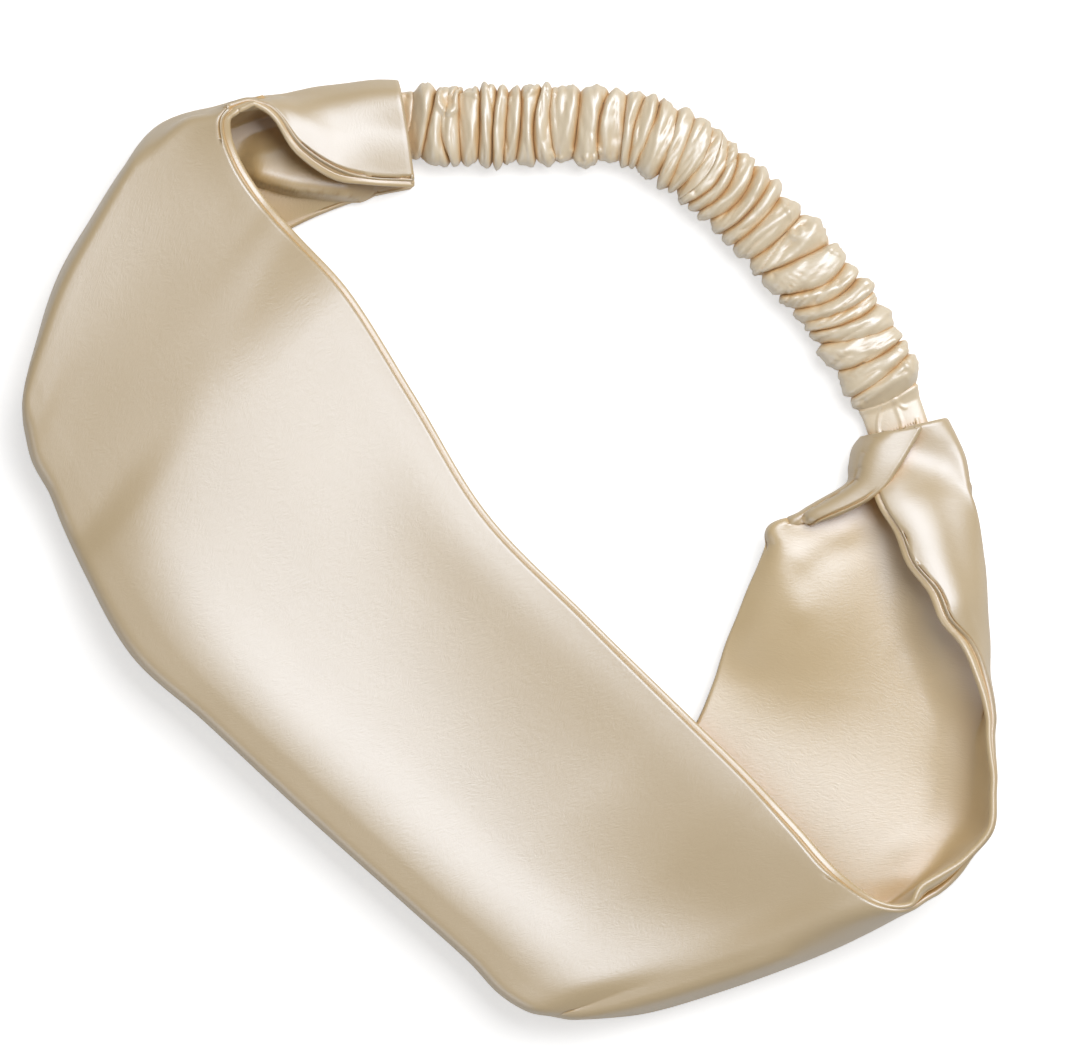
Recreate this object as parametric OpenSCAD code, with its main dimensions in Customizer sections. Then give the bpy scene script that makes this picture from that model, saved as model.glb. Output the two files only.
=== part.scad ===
// Wide satin headband, lying flat as a loop: a double layer of cloth across
// the front, turned under at both sides, and a gathered casing with elastic
// across the back. Millimetres, +Z up, the table at z = 0.

/* [Panel] */
// Thickness of one layer of satin
cloth_t = 0.4; // [0.3:0.05:0.5]
// Space between the outer layer and the lining, which holds the seam allowances
layer_gap = 0.9; // [0.7:0.05:1.1]
// Width of the panel between its long edges, before it's folded
panel_w = 78; // [70:1:90]
// Width of the pressed allowance inside each long edge
allowance_w = 6; // [4:0.5:9]
// Depth of the raw end that is turned in at each mouth of the panel
turn_in = 5; // [3:0.5:7]

/* [Casing] */
// Width of the gathered casing, lying on its side
casing_w = 16.4; // [14:0.2:17]
// Height of the gathered casing
casing_h = 9; // [7:0.2:10]
// Thickness of the gathered cloth round the elastic
casing_wall = 1; // [0.8:0.1:1.3]
// Number of gathers along the casing
gathers = 33; // [24:1:40]
// How far a gather stands out from the valley beside it
gather_depth = 1.5; // [0.5:0.1:2]
// Width of the casing's own seam allowance
casing_seam_w = 4; // [3:0.5:6]

/* [Elastic] */
// Width of the woven elastic
elastic_w = 9; // [7:0.5:9.5]
// Thickness of the woven elastic
elastic_t = 0.8; // [0.6:0.1:1]
// Length of each bar tack across an elastic end
tack_len = 8; // [6:0.5:9]
// Width of each bar tack
tack_w = 1.6; // [1:0.1:2.4]

/* [Hidden] */

satin = "#d9cbb5";
lining_satin = "#cdb994";
thread = "#efe6d6";
rubber = "#f3efe6";

// Thickness of the thread in a bar tack
tack_t = 0.3;
// Clearance between pieces that lie on each other
ease = 0.2;
// Half of the panel's two layers and the space between them
half_t = layer_gap / 2 + cloth_t;
// Height of the cloth's middle where the panel lies on the table
low = half_t;
// Bottom layer where it starts to lift
first_lift = 0.4;
lift = low + first_lift;
// Cloth samples across a row, and between two rows
across = 19;
between = 2;

// The panel's middle surface, as rows across the band from the upper edge to
// the lower edge, taken in turn along the band from its left end to its right.
left_end_rows = [
    [[[-21, 75.5, 7.6], [-22.4, 86, 7.9], [-24, 95.4, 6.6], [-24.4, 96.8, 4], [-24, 94.8, lift],
        [-22.6, 85, low], [-21.6, 75.3, low]], [[3, 0.42]]],
    [[[-30, 76, 9.2], [-29.9, 87, 8.8], [-29.2, 95.2, 6.6], [-29, 96.8, 4], [-29.4, 94.6, lift],
        [-30.6, 86, low], [-30, 77, 1.6], [-29.6, 73.7, low]], [[3, 0.42]]],
    [[[-37, 77.1, 11], [-36.3, 87, 9.8], [-34.9, 94.4, 6.8], [-34.6, 96.1, 4], [-35, 94, lift],
        [-37.2, 84, 1.4], [-37.6, 76.4, 2.6], [-37.8, 71, low]], [[3, 0.42]]],
    [[[-44.6, 82.3, 12.5], [-43, 89, 11], [-41.4, 93.4, 7.4], [-41.2, 95.2, 4.4], [-41.8, 92.8, 1.6],
        [-44, 84, 1.6], [-45, 77, 2.6], [-46, 67.3, low]], [[3, 0.42]]],
    [[[-49, 89, 13.8], [-48, 91.6, 11.5], [-47.6, 93.1, 7.5], [-47.6, 93.6, 4.8], [-48.8, 91.6, 1.6],
        [-51.5, 84, 1.6], [-53, 77.8, 2.4], [-56, 61.3, low]], [[3, 0.42]]],
    [[[-52.6, 92.4, 14.6], [-53.4, 92.4, 11], [-54.4, 92, 6], [-56.4, 90, 2], [-61, 82, 1.1],
        [-66, 70, low], [-73, 50.2, low]], [[2, 0.42]]],
    [[[-56.4, 92.1, 15], [-59.7, 91, 11.5], [-63.6, 89.8, 6.5], [-68, 86.2, 2.4],
        [-76, 77.5, 1.1], [-84, 65.5, low], [-91, 54, low], [-98, 33.5, low]], [[2, 0.34]]],
];
left_turn_rows = [
    [[[-58.4, 90.3, 15.2], [-63, 89.6, 12.8], [-68.4, 88.8, 9.5], [-73.4, 87.4, 7], [-79.8, 79.8, 6.2],
        [-87.2, 68.4, 5.8], [-94, 56.6, 5.4], [-98.5, 42.8, 4.8], [-101, 31, 3.2]], [[2, 0.24]]],
    [[[-59, 87.6, 15.2], [-63, 87.6, 14.4], [-68.6, 86.4, 13.3], [-76, 79.5, 12.2], [-84, 66.5, 11.6],
        [-91, 54, 11], [-96.5, 41, 9.6], [-100.5, 30.5, 6], [-101.1, 26.6, 2.6]], [[2, 0.17]]],
];
front_rows = [
    [[[-58, 83.5, 15.2], [-66, 77, 14.6], [-76, 66, 13.8], [-86, 52.5, 13], [-93.5, 39, 11.5],
        [-98.4, 28, 7.2], [-100.7, 22.8, 2.4]], []],
    [[[-55.6, 78.6, 14.6], [-66, 66, 14.2], [-77, 52, 13.4], [-87, 38.5, 12.2], [-94.5, 27, 9.8],
        [-98.2, 20, 6], [-99.4, 17.8, 2.4]], []],
    [[[-51, 72, 13.6], [-62, 58, 13.6], [-73, 44, 13], [-84, 29.5, 12], [-91.4, 19.2, 9],
        [-95, 13.2, 5.4], [-96, 11.6, 2.2]], []],
    [[[-44.5, 64.6, 12.4], [-57, 50, 12.8], [-69, 36, 12.6], [-81, 21.5, 11.6], [-88.6, 11.2, 8.6],
        [-92.2, 6, 5.2], [-93.2, 4.6, 2.2]], []],
    [[[-35.2, 54, 10.5], [-49, 38.5, 11.6], [-63, 23.5, 12], [-76, 9.5, 11.2], [-83.8, 0.7, 8.4],
        [-87.8, -3.6, 5], [-88.8, -4.8, 2]], []],
    [[[-21.2, 30.9, 8], [-36, 17, 10], [-51, 2.5, 11.2], [-64.6, -10, 10.8], [-73.6, -18, 8.2],
        [-77.8, -21.4, 4.8], [-78.8, -22.2, 1.8]], []],
    [[[-7.2, 6.4, 6.4], [-22, -5.5, 9], [-37, -18, 10.6], [-50.5, -28.5, 10.4], [-59.5, -33.6, 8],
        [-63, -35, 4.6], [-63.8, -35.7, 1.6]], []],
    [[[14.6, -15.2, 6], [-1, -27.5, 9], [-15, -38, 10.6], [-28.5, -45.5, 10.4], [-38, -51.8, 8],
        [-42.4, -54.2, 4.6], [-43.2, -54.8, 1.6]], []],
    [[[35, -34.2, 8], [19, -47, 10.4], [5, -56.5, 11.4], [-8.5, -65.5, 10.8], [-16.5, -71, 8.2],
        [-20.6, -73.6, 4.8], [-21.5, -74.2, 1.6]], []],
    [[[50, -48.3, 11], [33, -60, 12.2], [19, -68.5, 12.4], [6, -76, 11.6], [-2.6, -82, 8.8],
        [-7.4, -85.4, 5], [-8.3, -86.1, 1.8]], []],
    [[[60, -58.6, 13], [43, -68.5, 13.4], [28, -76.5, 13], [14, -83.5, 11.8], [5, -88.4, 9.2],
        [-1.1, -92, 5.2], [-2.2, -92.6, 2]], []],
    [[[68, -67.3, 14.4], [53, -75, 14], [38, -81.6, 13], [24, -87.6, 11.8], [13, -92, 9],
        [5, -95.6, 5], [3.6, -96.2, 2]], []],
    [[[76, -73.3, 15.4], [64, -78, 14], [50, -83.5, 12.8], [36, -88.4, 11.6], [23, -92.6, 9],
        [11, -96.6, 5.4], [7.6, -97, 2.8]], []],
];
right_turn_rows = [
    [[[83.1, -74.5, 16], [78, -77.2, 11], [66.6, -83.2, 7], [54.3, -88.2, 6], [43.3, -92.1, 5.4],
        [27, -96.7, 4.9], [12.4, -97.8, 3.8]], []],
    [[[86.2, -71.7, 16], [85.4, -72.1, 10], [80, -75.4, 3], [66, -79.4, 1.2], [50, -84, low],
        [32, -89, low], [14, -92.5, low], [-1, -94.2, low]], []],
];
right_back_rows = [
    [[[90.4, -68.8, 16], [90.4, -68.3, 10], [88, -68.6, 3.8], [80, -69, 1.5], [60, -73, low],
        [35, -79, low], [6, -84.5, low]], []],
    [[[95.4, -64.8, 16], [95, -64.2, 10], [92, -63.8, 3.8], [82, -63, 1.5], [60, -65, low],
        [35, -68, low], [15, -71, low]], []],
    [[[99.6, -58.2, 16], [99.1, -57.8, 10], [96.3, -57, 4], [88, -56.5, 1.5], [70, -56.5, low],
        [45, -56.5, low], [25, -56.5, low]], []],
    [[[100.6, -51, 15.5], [100.1, -50.5, 10], [97.3, -49.5, 4], [90, -49, 1.5], [70, -48, low],
        [50, -46.5, low], [32, -46, low]], []],
    [[[100.1, -43, 15], [100, -42, 9], [97.6, -41, 3.4], [90, -40.5, 1.5], [72, -39, low],
        [54, -37.5, low], [38.5, -37.5, low]], []],
    [[[99.3, -35, 14.5], [99.8, -35, 9.5], [99.2, -34, 3.4], [92, -33, 1.4], [75, -31, low],
        [58, -29.5, low], [42.3, -28.8, low]], [[1, 0.1]]],
    [[[98, -27, 14], [98.8, -27, 10.4], [99, -26.5, 6], [97.6, -26, 1.6], [85, -24.5, 1.1],
        [65, -22, 1.4], [49, -21, 2.4], [45, -20.6, 1.4]], [[2, 0.17]]],
    [[[94, -20.5, 13.5], [96.6, -20, 11.2], [98.6, -19, 6], [97.5, -18.5, 1.6], [82, -16.5, 1.1],
        [65, -14.8, 1.8], [52.8, -14.4, 4], [47.6, -14.4, 2]], [[2, 0.22]]],
    [[[90.2, -15.2, 13], [94.6, -14, 11.2], [98.4, -12.5, 6.2], [97.3, -12, 1.6], [82, -10.5, 1.1],
        [66, -9.4, 2.4], [54.8, -9, 5.2], [49.8, -8.8, 2.4]], [[2, 0.25]]],
    [[[86.6, -9.2, 12], [93.3, -8, 10.6], [98.1, -6, 6], [96.9, -5.5, 1.6], [80, -5, 1.2],
        [66, -4.8, 3.4], [55.9, -4.4, 6.8], [51.8, -4.4, 3]], [[2, 0.27], [6, 0.93]]],
    [[[83, -3.4, 11], [91.3, -2.4, 10.2], [97.6, -1, 5.8], [96.3, -0.8, 1.6], [80, -0.2, 1.6],
        [66, 0.2, 4], [56.4, 0.2, 7.8], [53.6, 0, 3.6]], [[2, 0.28], [6, 0.91]]],
];
right_end_rows = [
    [[[79.8, 3, 10], [89.6, 4, 9.8], [96.9, 4.8, 5.4], [95.4, 4.8, 1.6], [82, 4.8, 1.8],
        [70, 4.6, 4], [60, 3.6, 7.4], [56, 3.9, 8], [54.8, 4.1, 5]], [[2, 0.28], [7, 0.89]]],
    [[[77.3, 8, 9.2], [87.8, 9, 9.3], [96.1, 9, 5.2], [93.8, 8.8, 1.6], [84, 8.2, 1.5],
        [74, 7.4, 3], [66.2, 7.1, 5.4], [61.8, 7.1, 7], [62.6, 6.8, 9], [64.6, 5.7, 9.4]], [[2, 0.28], [7, 0.85]]],
    [[[76.2, 12.4, 7.8], [86, 13.2, 8.6], [94.9, 13.5, 5], [92.8, 13, 1.4], [84, 12.4, 1.2],
        [76, 12, 2.4], [71, 12.8, 5.6], [72.6, 12.8, 9.4], [76.6, 11.3, 10.2]], [[2, 0.28], [6, 0.81]]],
    [[[77.2, 16.8, 6.8], [86, 17.6, 7.9], [93.9, 18.6, 4.8], [91.8, 18, 1.3], [84, 17, 1],
        [76, 16.4, 2], [71.6, 16.8, 5.4], [74, 17, 9.2], [80.7, 16.6, 10.2]], [[2, 0.28], [6, 0.8]]],
    [[[79, 21, 6.3], [86, 21.9, 7.1], [92.2, 22.6, 4.6], [90.4, 22, 1.2], [84, 21, low],
        [76, 20.1, 1.1], [72.3, 20.3, 5.1], [75, 20.9, 8.8], [83.3, 20.9, 9.6]], [[2, 0.28], [6, 0.8]]],
    [[[80.5, 24, 6.1], [86, 25.2, 6.7], [90.4, 26.1, 4.4], [88.8, 25.4, 1.1], [83, 24.2, low],
        [76.8, 22.9, 1], [73.8, 22.3, 4.9], [76.8, 23, 8.3], [85.4, 24.7, 9.2]], [[2, 0.28], [6, 0.8]]],
];
rows = concat(left_end_rows, left_turn_rows, front_rows, right_turn_rows, right_back_rows,
    right_end_rows);

// Route of the elastic through the casing, seen from above
route = [[-26, 88.4], [-18, 88.6], [-3, 88.3], [10, 88.6], [21, 88.2], [30, 86.2], [37, 82],
    [44.5, 75.6], [52.5, 67.8], [60.5, 59.4], [67.4, 51.2], [72.8, 43], [77.2, 35],
    [79.6, 28.8], [81.6, 22.9]];
rings_per_gather = 4;
casing_sides = 14;
casing_rings = round(gathers * rings_per_gather);
// Shares of the route over which the casing is pressed flat at its two ends
left_flat = 0.05;
right_flat = 0.13;
left_flat_h = 3.4;
right_flat_h = 2.6;
left_mid_z = low + half_t + ease + left_flat_h / 2;
right_mid_z = low + half_t + ease + right_flat_h / 2;
// Slack cloth on each side of the elastic, where the casing goes into the right mouth
mouth_slack = 0.2;
right_mouth_w = elastic_w + 2 * (cloth_t + ease + mouth_slack);

function total(v, k) = k < 1 ? 0 : v[k - 1] + total(v, k - 1);
function running(steps) = [for (s = 0, k = 0; k <= len(steps); s = s + (k < len(steps) ? steps[k] : 0), k = k + 1) s];
function unit(v) = v / max(norm(v), 1e-9);

// Slopes of a smooth curve through values p at places k
function slopes(p, k) = let (last = len(p) - 1,
    s = [for (i = [0:last - 1]) (p[i + 1] - p[i]) / (k[i + 1] - k[i])])
    [for (i = [0:last]) i == 0 ? s[0] : i == last ? s[last - 1]
        : (s[i - 1] * (k[i + 1] - k[i]) + s[i] * (k[i] - k[i - 1])) / (k[i + 1] - k[i - 1])];
function span_of(k, x, i = 0) = i >= len(k) - 2 || x < k[i + 1] ? i : span_of(k, x, i + 1);
function smooth_at(p, m, k, x) = let (i = span_of(k, x), h = k[i + 1] - k[i], t = (x - k[i]) / h)
    (2 * pow(t, 3) - 3 * pow(t, 2) + 1) * p[i] + (pow(t, 3) - 2 * pow(t, 2) + t) * h * m[i]
    + (3 * pow(t, 2) - 2 * pow(t, 3)) * p[i + 1] + (pow(t, 3) - pow(t, 2)) * h * m[i + 1];
function lengths(p) = running([for (i = [0:len(p) - 2]) norm(p[i + 1] - p[i])]);
// Places of a row's points, from 0 to 1: by length, with its folds pinned
function between_pins(k, i, pins) = let (
    before = [for (q = pins) if (q[0] <= i) q], after = [for (q = pins) if (q[0] > i) q],
    a = before[len(before) - 1], b = len(after) > 0 ? after[0] : a)
    len(after) == 0 ? a[1] : a[1] + (b[1] - a[1]) * (k[i] - k[a[0]]) / (k[b[0]] - k[a[0]]);
function even(row, shares) = let (p = row[0], k = lengths(p),
    pins = concat([[0, 0]], row[1], [[len(p) - 1, 1]]),
    at = [for (i = [0:len(p) - 1]) between_pins(k, i, pins)], m = slopes(p, at))
    [for (s = shares) let (q = smooth_at(p, m, at, s)) [q.x, q.y, max(q.z, low)]];

// Cloth that would dip under the table lies on it
function on_table(line) = [for (q = line) [q.x, q.y, max(q.z, low)]];

// Cloth grid: one list of points for each place along the band
function mean_gap(a, b) = let (d = [for (j = [0:len(a) - 1]) norm(a[j] - b[j])])
    total(d, len(d)) / len(d);
function places(rows_used, step) = [for (i = [0:len(rows_used) - 2], k = [0:step - 1]) i + k / step];
function cloth_grid(rows_used, shares, step) = let (r = [for (row = rows_used) even(row, shares)],
    k = running([for (i = [0:len(r) - 2]) pow(mean_gap(r[i], r[i + 1]), 0.6)]),
    m = slopes(r, k), at = concat(places(rows_used, step), [len(r) - 1]))
    [for (a = at) let (i = min(floor(a), len(r) - 2))
        on_table(smooth_at(r, m, k, k[i] + (a - i) * (k[i + 1] - k[i])))];
function side_of(g, i, j) = let (last_i = len(g) - 1, last_j = len(g[0]) - 1,
    along = g[min(i + 1, last_i)][j] - g[max(i - 1, 0)][j],
    over = g[i][min(j + 1, last_j)] - g[i][max(j - 1, 0)])
    unit(cross(over, along));
function sides(g) = [for (i = [0:len(g) - 1]) [for (j = [0:len(g[0]) - 1]) side_of(g, i, j)]];
// Closed solid between two sheets of points, face being the one that the cloth shows
function sheet_faces(n, m, base, flip) = [for (i = [0:n - 2], j = [0:m - 2])
    let (a = base + i * m + j, b = a + 1, c = a + m + 1, d = a + m)
    each flip ? [[a, b, c], [a, c, d]] : [[a, c, b], [a, d, c]]];
function rim_faces(loop, other) = [for (i = [0:len(loop) - 1]) let (k = (i + 1) % len(loop))
    each [[loop[i], other[k], loop[k]], [loop[i], other[i], other[k]]]];
function border(n, m) = concat([for (j = [0:m - 2]) j], [for (i = [0:n - 2]) i * m + m - 1],
    [for (j = [m - 1:-1:1]) (n - 1) * m + j], [for (i = [n - 1:-1:1]) i * m]);

module sheet_solid(grid, normals, near, far) {
    n = len(grid);
    m = len(grid[0]);
    low_side = [for (i = [0:n - 1], j = [0:m - 1]) grid[i][j] + near * normals[i][j]];
    high_side = [for (i = [0:n - 1], j = [0:m - 1]) grid[i][j] + far * normals[i][j]];
    loop = border(n, m);
    other = [for (k = loop) k + n * m];
    polyhedron(points = concat(low_side, high_side),
        faces = concat(sheet_faces(n, m, 0, true), sheet_faces(n, m, n * m, false),
            rim_faces(loop, other)), convexity = 12);
}

all_shares = [for (j = [0:across]) j / across];
panel_grid = cloth_grid(rows, all_shares, between);
panel_sides = sides(panel_grid);
// Width of one column of the cloth grid
column_w = panel_w / across;
// Set-back of the allowances behind the cloth's edges, the groove between the two rims
groove = 0.5;
// How far the allowances reach to the lining's side: they're pressed to the outer layer,
// which keeps them clear of the lining in the sharp folds at the corners
pressed_back = 0.02;

module outer_panel()
    color(satin) sheet_solid(panel_grid, panel_sides, layer_gap / 2, half_t);

module lining_panel()
    color(lining_satin) sheet_solid(panel_grid, panel_sides, -half_t, -layer_gap / 2);

// Strip of the grid between given distances from its first column
function column(line, c) = let (j = min(floor(c), across - 1)) line[j] + (c - j) * (line[j + 1] - line[j]);
module edge_allowance(distances) {
    grid = [for (line = panel_grid) [for (d = distances) column(line, d / column_w)]];
    normals = [for (line = panel_sides) [for (d = distances) column(line, d / column_w)]];
    color(thread) sheet_solid(grid, normals, -pressed_back, layer_gap / 2 - ease);
}

module upper_edge_seam()
    edge_allowance([groove, column_w, allowance_w]);

module lower_edge_seam()
    edge_allowance([panel_w - allowance_w, panel_w - column_w, panel_w - 2 * groove]);

// Raw end turned in against the lining, inside the mouth of the panel
module end_allowance(end_rows, first_share, last_share, from, to) {
    shares = [for (k = [0:6]) first_share + k / 6 * (last_share - first_share)];
    g = cloth_grid(end_rows, shares, 1);
    rows_kept = [for (k = [0:2]) let (a = from + (to - from) * k / 2) g[0] * (1 - a) + g[1] * a];
    color(satin) sheet_solid(rows_kept, sides(rows_kept), -half_t - ease - cloth_t, -half_t - ease);
}

module left_end_allowance()
    end_allowance([left_end_rows[0], left_end_rows[1]], 0.05, 0.4, 0, turn_in / 8);

module right_end_allowance()
    end_allowance([right_end_rows[4], right_end_rows[5]], 0.03, 0.2, 1 - turn_in / 8, 1);

// The casing: rings of points along the route, gathered on the outside
route_k = lengths(route);
route_m = slopes(route, route_k);
route_len = route_k[len(route_k) - 1];
function route_at(s) = smooth_at(route, route_m, route_k, s * route_len);
function heading(s) = unit(route_at(min(s + 0.004, 1)) - route_at(max(s - 0.004, 0)));
function ramp(x) = let (t = min(max(x, 0), 1)) t * t * (3 - 2 * t);
function fullness(s) = ramp((s - left_flat * 0.6) / left_flat) * ramp((1 - s - right_flat * 0.55) / (right_flat * 0.45));
function mid_z(s) = let (f = fullness(s), flat_z = s < 0.5 ? left_mid_z : right_mid_z)
    flat_z + f * (casing_h / 2 + ease - flat_z);
function half_h(s) = let (f = fullness(s), flat_h = s < 0.5 ? left_flat_h : right_flat_h)
    (flat_h + f * (casing_h - flat_h)) / 2;
function half_w(s) = let (w = casing_w * (0.86 + 0.14 * fullness(s)))
    (w + ramp((s - 0.93) / 0.04) * (right_mouth_w - w)) / 2;
// Gathers: rounded ridges between narrow valleys, uneven in height
function gather(s) = let (a = 180 * gathers * s, uneven = 0.75 + 0.25 * sin(a * 0.37 + 40) * cos(a * 0.11))
    gather_depth * uneven * (pow(abs(sin(a)), 0.7) - 1) * fullness(s);
// Lean of the gathers across the casing
function lean(s) = 0.22 * sin(900 * s) * fullness(s);
function ring_point(s, angle, w, h, out) = let (p = route_at(s), d = heading(s), side = [-d.y, d.x],
    across_w = (w + out) * cos(angle), q = p + side * across_w + d * lean(s) * across_w)
    [q.x, q.y, mid_z(s) + (h + out * min(1, h / 2)) * sin(angle)];
function tube_ring(s, sides_n, w, h, out) = [for (k = [0:sides_n - 1])
    ring_point(s, 360 * k / sides_n, w, h, out)];
function tube_faces(rings, n, base, flip) = [for (i = [0:rings - 2], k = [0:n - 1])
    let (a = base + i * n + k, b = base + i * n + (k + 1) % n, c = b + n, d = a + n)
    each flip ? [[a, b, c], [a, c, d]] : [[a, c, b], [a, d, c]]];

module elastic_casing() {
    outer = [for (i = [0:casing_rings]) let (s = i / casing_rings)
        each tube_ring(s, casing_sides, half_w(s), half_h(s), gather(s))];
    inner_rings = 48;
    inner = [for (i = [0:inner_rings]) let (s = i / inner_rings, f = fullness(s),
        wall = cloth_t + f * (casing_wall + gather_depth - cloth_t) - (s < 0.5 ? 0 : 0.1 * (1 - f)))
        each tube_ring(s, casing_sides, half_w(s) - wall, half_h(s) - wall, 0)];
    n = casing_sides;
    base = (casing_rings + 1) * n;
    last_out = casing_rings * n;
    last_in = base + inner_rings * n;
    ends = [for (k = [0:n - 1]) let (j = (k + 1) % n)
        each [[k, j, base + j], [k, base + j, base + k],
            [last_out + k, last_in + j, last_out + j], [last_out + k, last_in + k, last_in + j]]];
    color(satin) polyhedron(points = concat(outer, inner),
        faces = concat(tube_faces(casing_rings + 1, n, 0, false),
            tube_faces(inner_rings + 1, n, base, true), ends), convexity = 12);
}

// Flat strip along the route, from one share of it to another
module strip(from, to, rings, w, t, drop) {
    points = [for (i = [0:rings]) let (s = from + (to - from) * i / rings, p = route_at(s),
        d = heading(s), side = [-d.y, d.x] * w / 2, z = mid_z(s) - drop)
        each [[p.x + side.x, p.y + side.y, z - t / 2], [p.x + side.x, p.y + side.y, z + t / 2],
            [p.x - side.x, p.y - side.y, z + t / 2], [p.x - side.x, p.y - side.y, z - t / 2]]];
    last = rings * 4;
    polyhedron(points = points, faces = concat(tube_faces(rings + 1, 4, 0, false),
        [[0, 1, 2], [0, 2, 3], [last + 2, last + 1, last], [last + 3, last + 2, last]]),
        convexity = 8);
}

module elastic_band()
    color(rubber) strip(0.006, 0.994, 60, elastic_w, elastic_t, 0);

module casing_seam() {
    drop = elastic_t / 2 + ease + cloth_t / 2;
    color(thread) strip(0.1, 0.86, 48, casing_seam_w, cloth_t, drop);
}

// Bar tack across the casing's end, which sews casing and elastic to the panel
module tack(share, tack_z) {
    p = route_at(share);
    d = heading(share);
    translate([p.x, p.y, tack_z])
        rotate([0, 0, atan2(d.y, d.x)])
        cube([tack_w, tack_len, tack_t], center = true);
}

module left_elastic_tack()
    color(thread) tack(0.012, left_mid_z + left_flat_h / 2 + (ease + tack_t) / 2);

module right_elastic_tack()
    color(thread) tack(0.988, right_mid_z + right_flat_h / 2 + (ease + tack_t) / 2);

outer_panel();
lining_panel();
upper_edge_seam();
lower_edge_seam();
left_end_allowance();
right_end_allowance();
elastic_casing();
casing_seam();
elastic_band();
left_elastic_tack();
right_elastic_tack();
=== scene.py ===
import math

import bpy
import numpy as np
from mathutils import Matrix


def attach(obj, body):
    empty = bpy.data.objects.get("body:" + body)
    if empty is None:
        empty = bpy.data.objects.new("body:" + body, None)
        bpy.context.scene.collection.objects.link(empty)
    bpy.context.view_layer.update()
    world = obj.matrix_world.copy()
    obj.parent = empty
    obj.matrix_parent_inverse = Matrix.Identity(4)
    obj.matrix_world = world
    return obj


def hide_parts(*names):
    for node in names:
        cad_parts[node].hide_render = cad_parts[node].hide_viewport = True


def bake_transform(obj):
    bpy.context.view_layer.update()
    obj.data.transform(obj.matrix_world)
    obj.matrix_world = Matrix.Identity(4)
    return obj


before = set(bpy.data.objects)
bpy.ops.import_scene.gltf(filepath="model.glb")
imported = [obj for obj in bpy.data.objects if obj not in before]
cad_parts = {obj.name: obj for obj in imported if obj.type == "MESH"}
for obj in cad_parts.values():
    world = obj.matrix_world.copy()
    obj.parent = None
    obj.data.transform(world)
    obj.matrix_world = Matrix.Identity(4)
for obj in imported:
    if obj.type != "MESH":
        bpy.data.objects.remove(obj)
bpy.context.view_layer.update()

# ---------------------------------------------------------------------------
# Outer layer. The satin that shows across the front: one strip, cut with a
# lining of the same cloth, sewn to it face to face along both long edges and
# turned right side out. Its edges roll in to the seam, and its ends turn in.
# ---------------------------------------------------------------------------

MM = 0.001
LOW = 0.85         # middle of the two layers where they lie flat on the table, in mm
LIFT = LOW + 0.4   # and where they come round a fold

# Rows across the panel's middle, in mm, from its upper edge, at the head
# opening, to its lower edge, taken along the band from its left end. A fold
# is (point of the row, share of the cloth's width that lies before it).
left_end_rows = [
    [[[-21, 75.5, 7.6], [-22.4, 86, 7.9], [-24, 95.4, 6.6], [-24.4, 96.8, 4], [-24, 94.8, LIFT],
        [-22.6, 85, LOW], [-21.6, 75.3, LOW]], [[3, 0.42]]],
    [[[-30, 76, 9.2], [-29.9, 87, 8.8], [-29.2, 95.2, 6.6], [-29, 96.8, 4], [-29.4, 94.6, LIFT],
        [-30.6, 86, LOW], [-30, 77, 1.6], [-29.6, 73.7, LOW]], [[3, 0.42]]],
    [[[-37, 77.1, 11], [-36.3, 87, 9.8], [-34.9, 94.4, 6.8], [-34.6, 96.1, 4], [-35, 94, LIFT],
        [-37.2, 84, 1.4], [-37.6, 76.4, 2.6], [-37.8, 71, LOW]], [[3, 0.42]]],
    [[[-44.6, 82.3, 12.5], [-43, 89, 11], [-41.4, 93.4, 7.4], [-41.2, 95.2, 4.4], [-41.8, 92.8, 1.6],
        [-44, 84, 1.6], [-45, 77, 2.6], [-46, 67.3, LOW]], [[3, 0.42]]],
    [[[-49, 89, 13.8], [-48, 91.6, 11.5], [-47.6, 93.1, 7.5], [-47.6, 93.6, 4.8], [-48.8, 91.6, 1.6],
        [-51.5, 84, 1.6], [-53, 77.8, 2.4], [-56, 61.3, LOW]], [[3, 0.42]]],
    [[[-52.6, 92.4, 14.6], [-53.4, 92.4, 11], [-54.4, 92, 6], [-56.4, 90, 2], [-61, 82, 1.1],
        [-66, 70, LOW], [-73, 50.2, LOW]], [[2, 0.42]]],
    [[[-56.4, 92.1, 15], [-59.7, 91, 11.5], [-63.6, 89.8, 6.5], [-68, 86.2, 2.4],
        [-76, 77.5, 1.1], [-84, 65.5, LOW], [-91, 54, LOW], [-98, 33.5, LOW]], [[2, 0.34]]],
]
left_turn_rows = [
    [[[-58.4, 90.3, 15.2], [-63, 89.6, 12.8], [-68.4, 88.8, 9.5], [-73.4, 87.4, 7], [-79.8, 79.8, 6.2],
        [-87.2, 68.4, 5.8], [-94, 56.6, 5.4], [-98.5, 42.8, 4.8], [-101, 31, 3.2]], [[2, 0.24]]],
    [[[-59, 87.6, 15.2], [-63, 87.6, 14.4], [-68.6, 86.4, 13.3], [-76, 79.5, 12.2], [-84, 66.5, 11.6],
        [-91, 54, 11], [-96.5, 41, 9.6], [-100.5, 30.5, 6], [-101.1, 26.6, 2.6]], [[2, 0.17]]],
]
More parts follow.
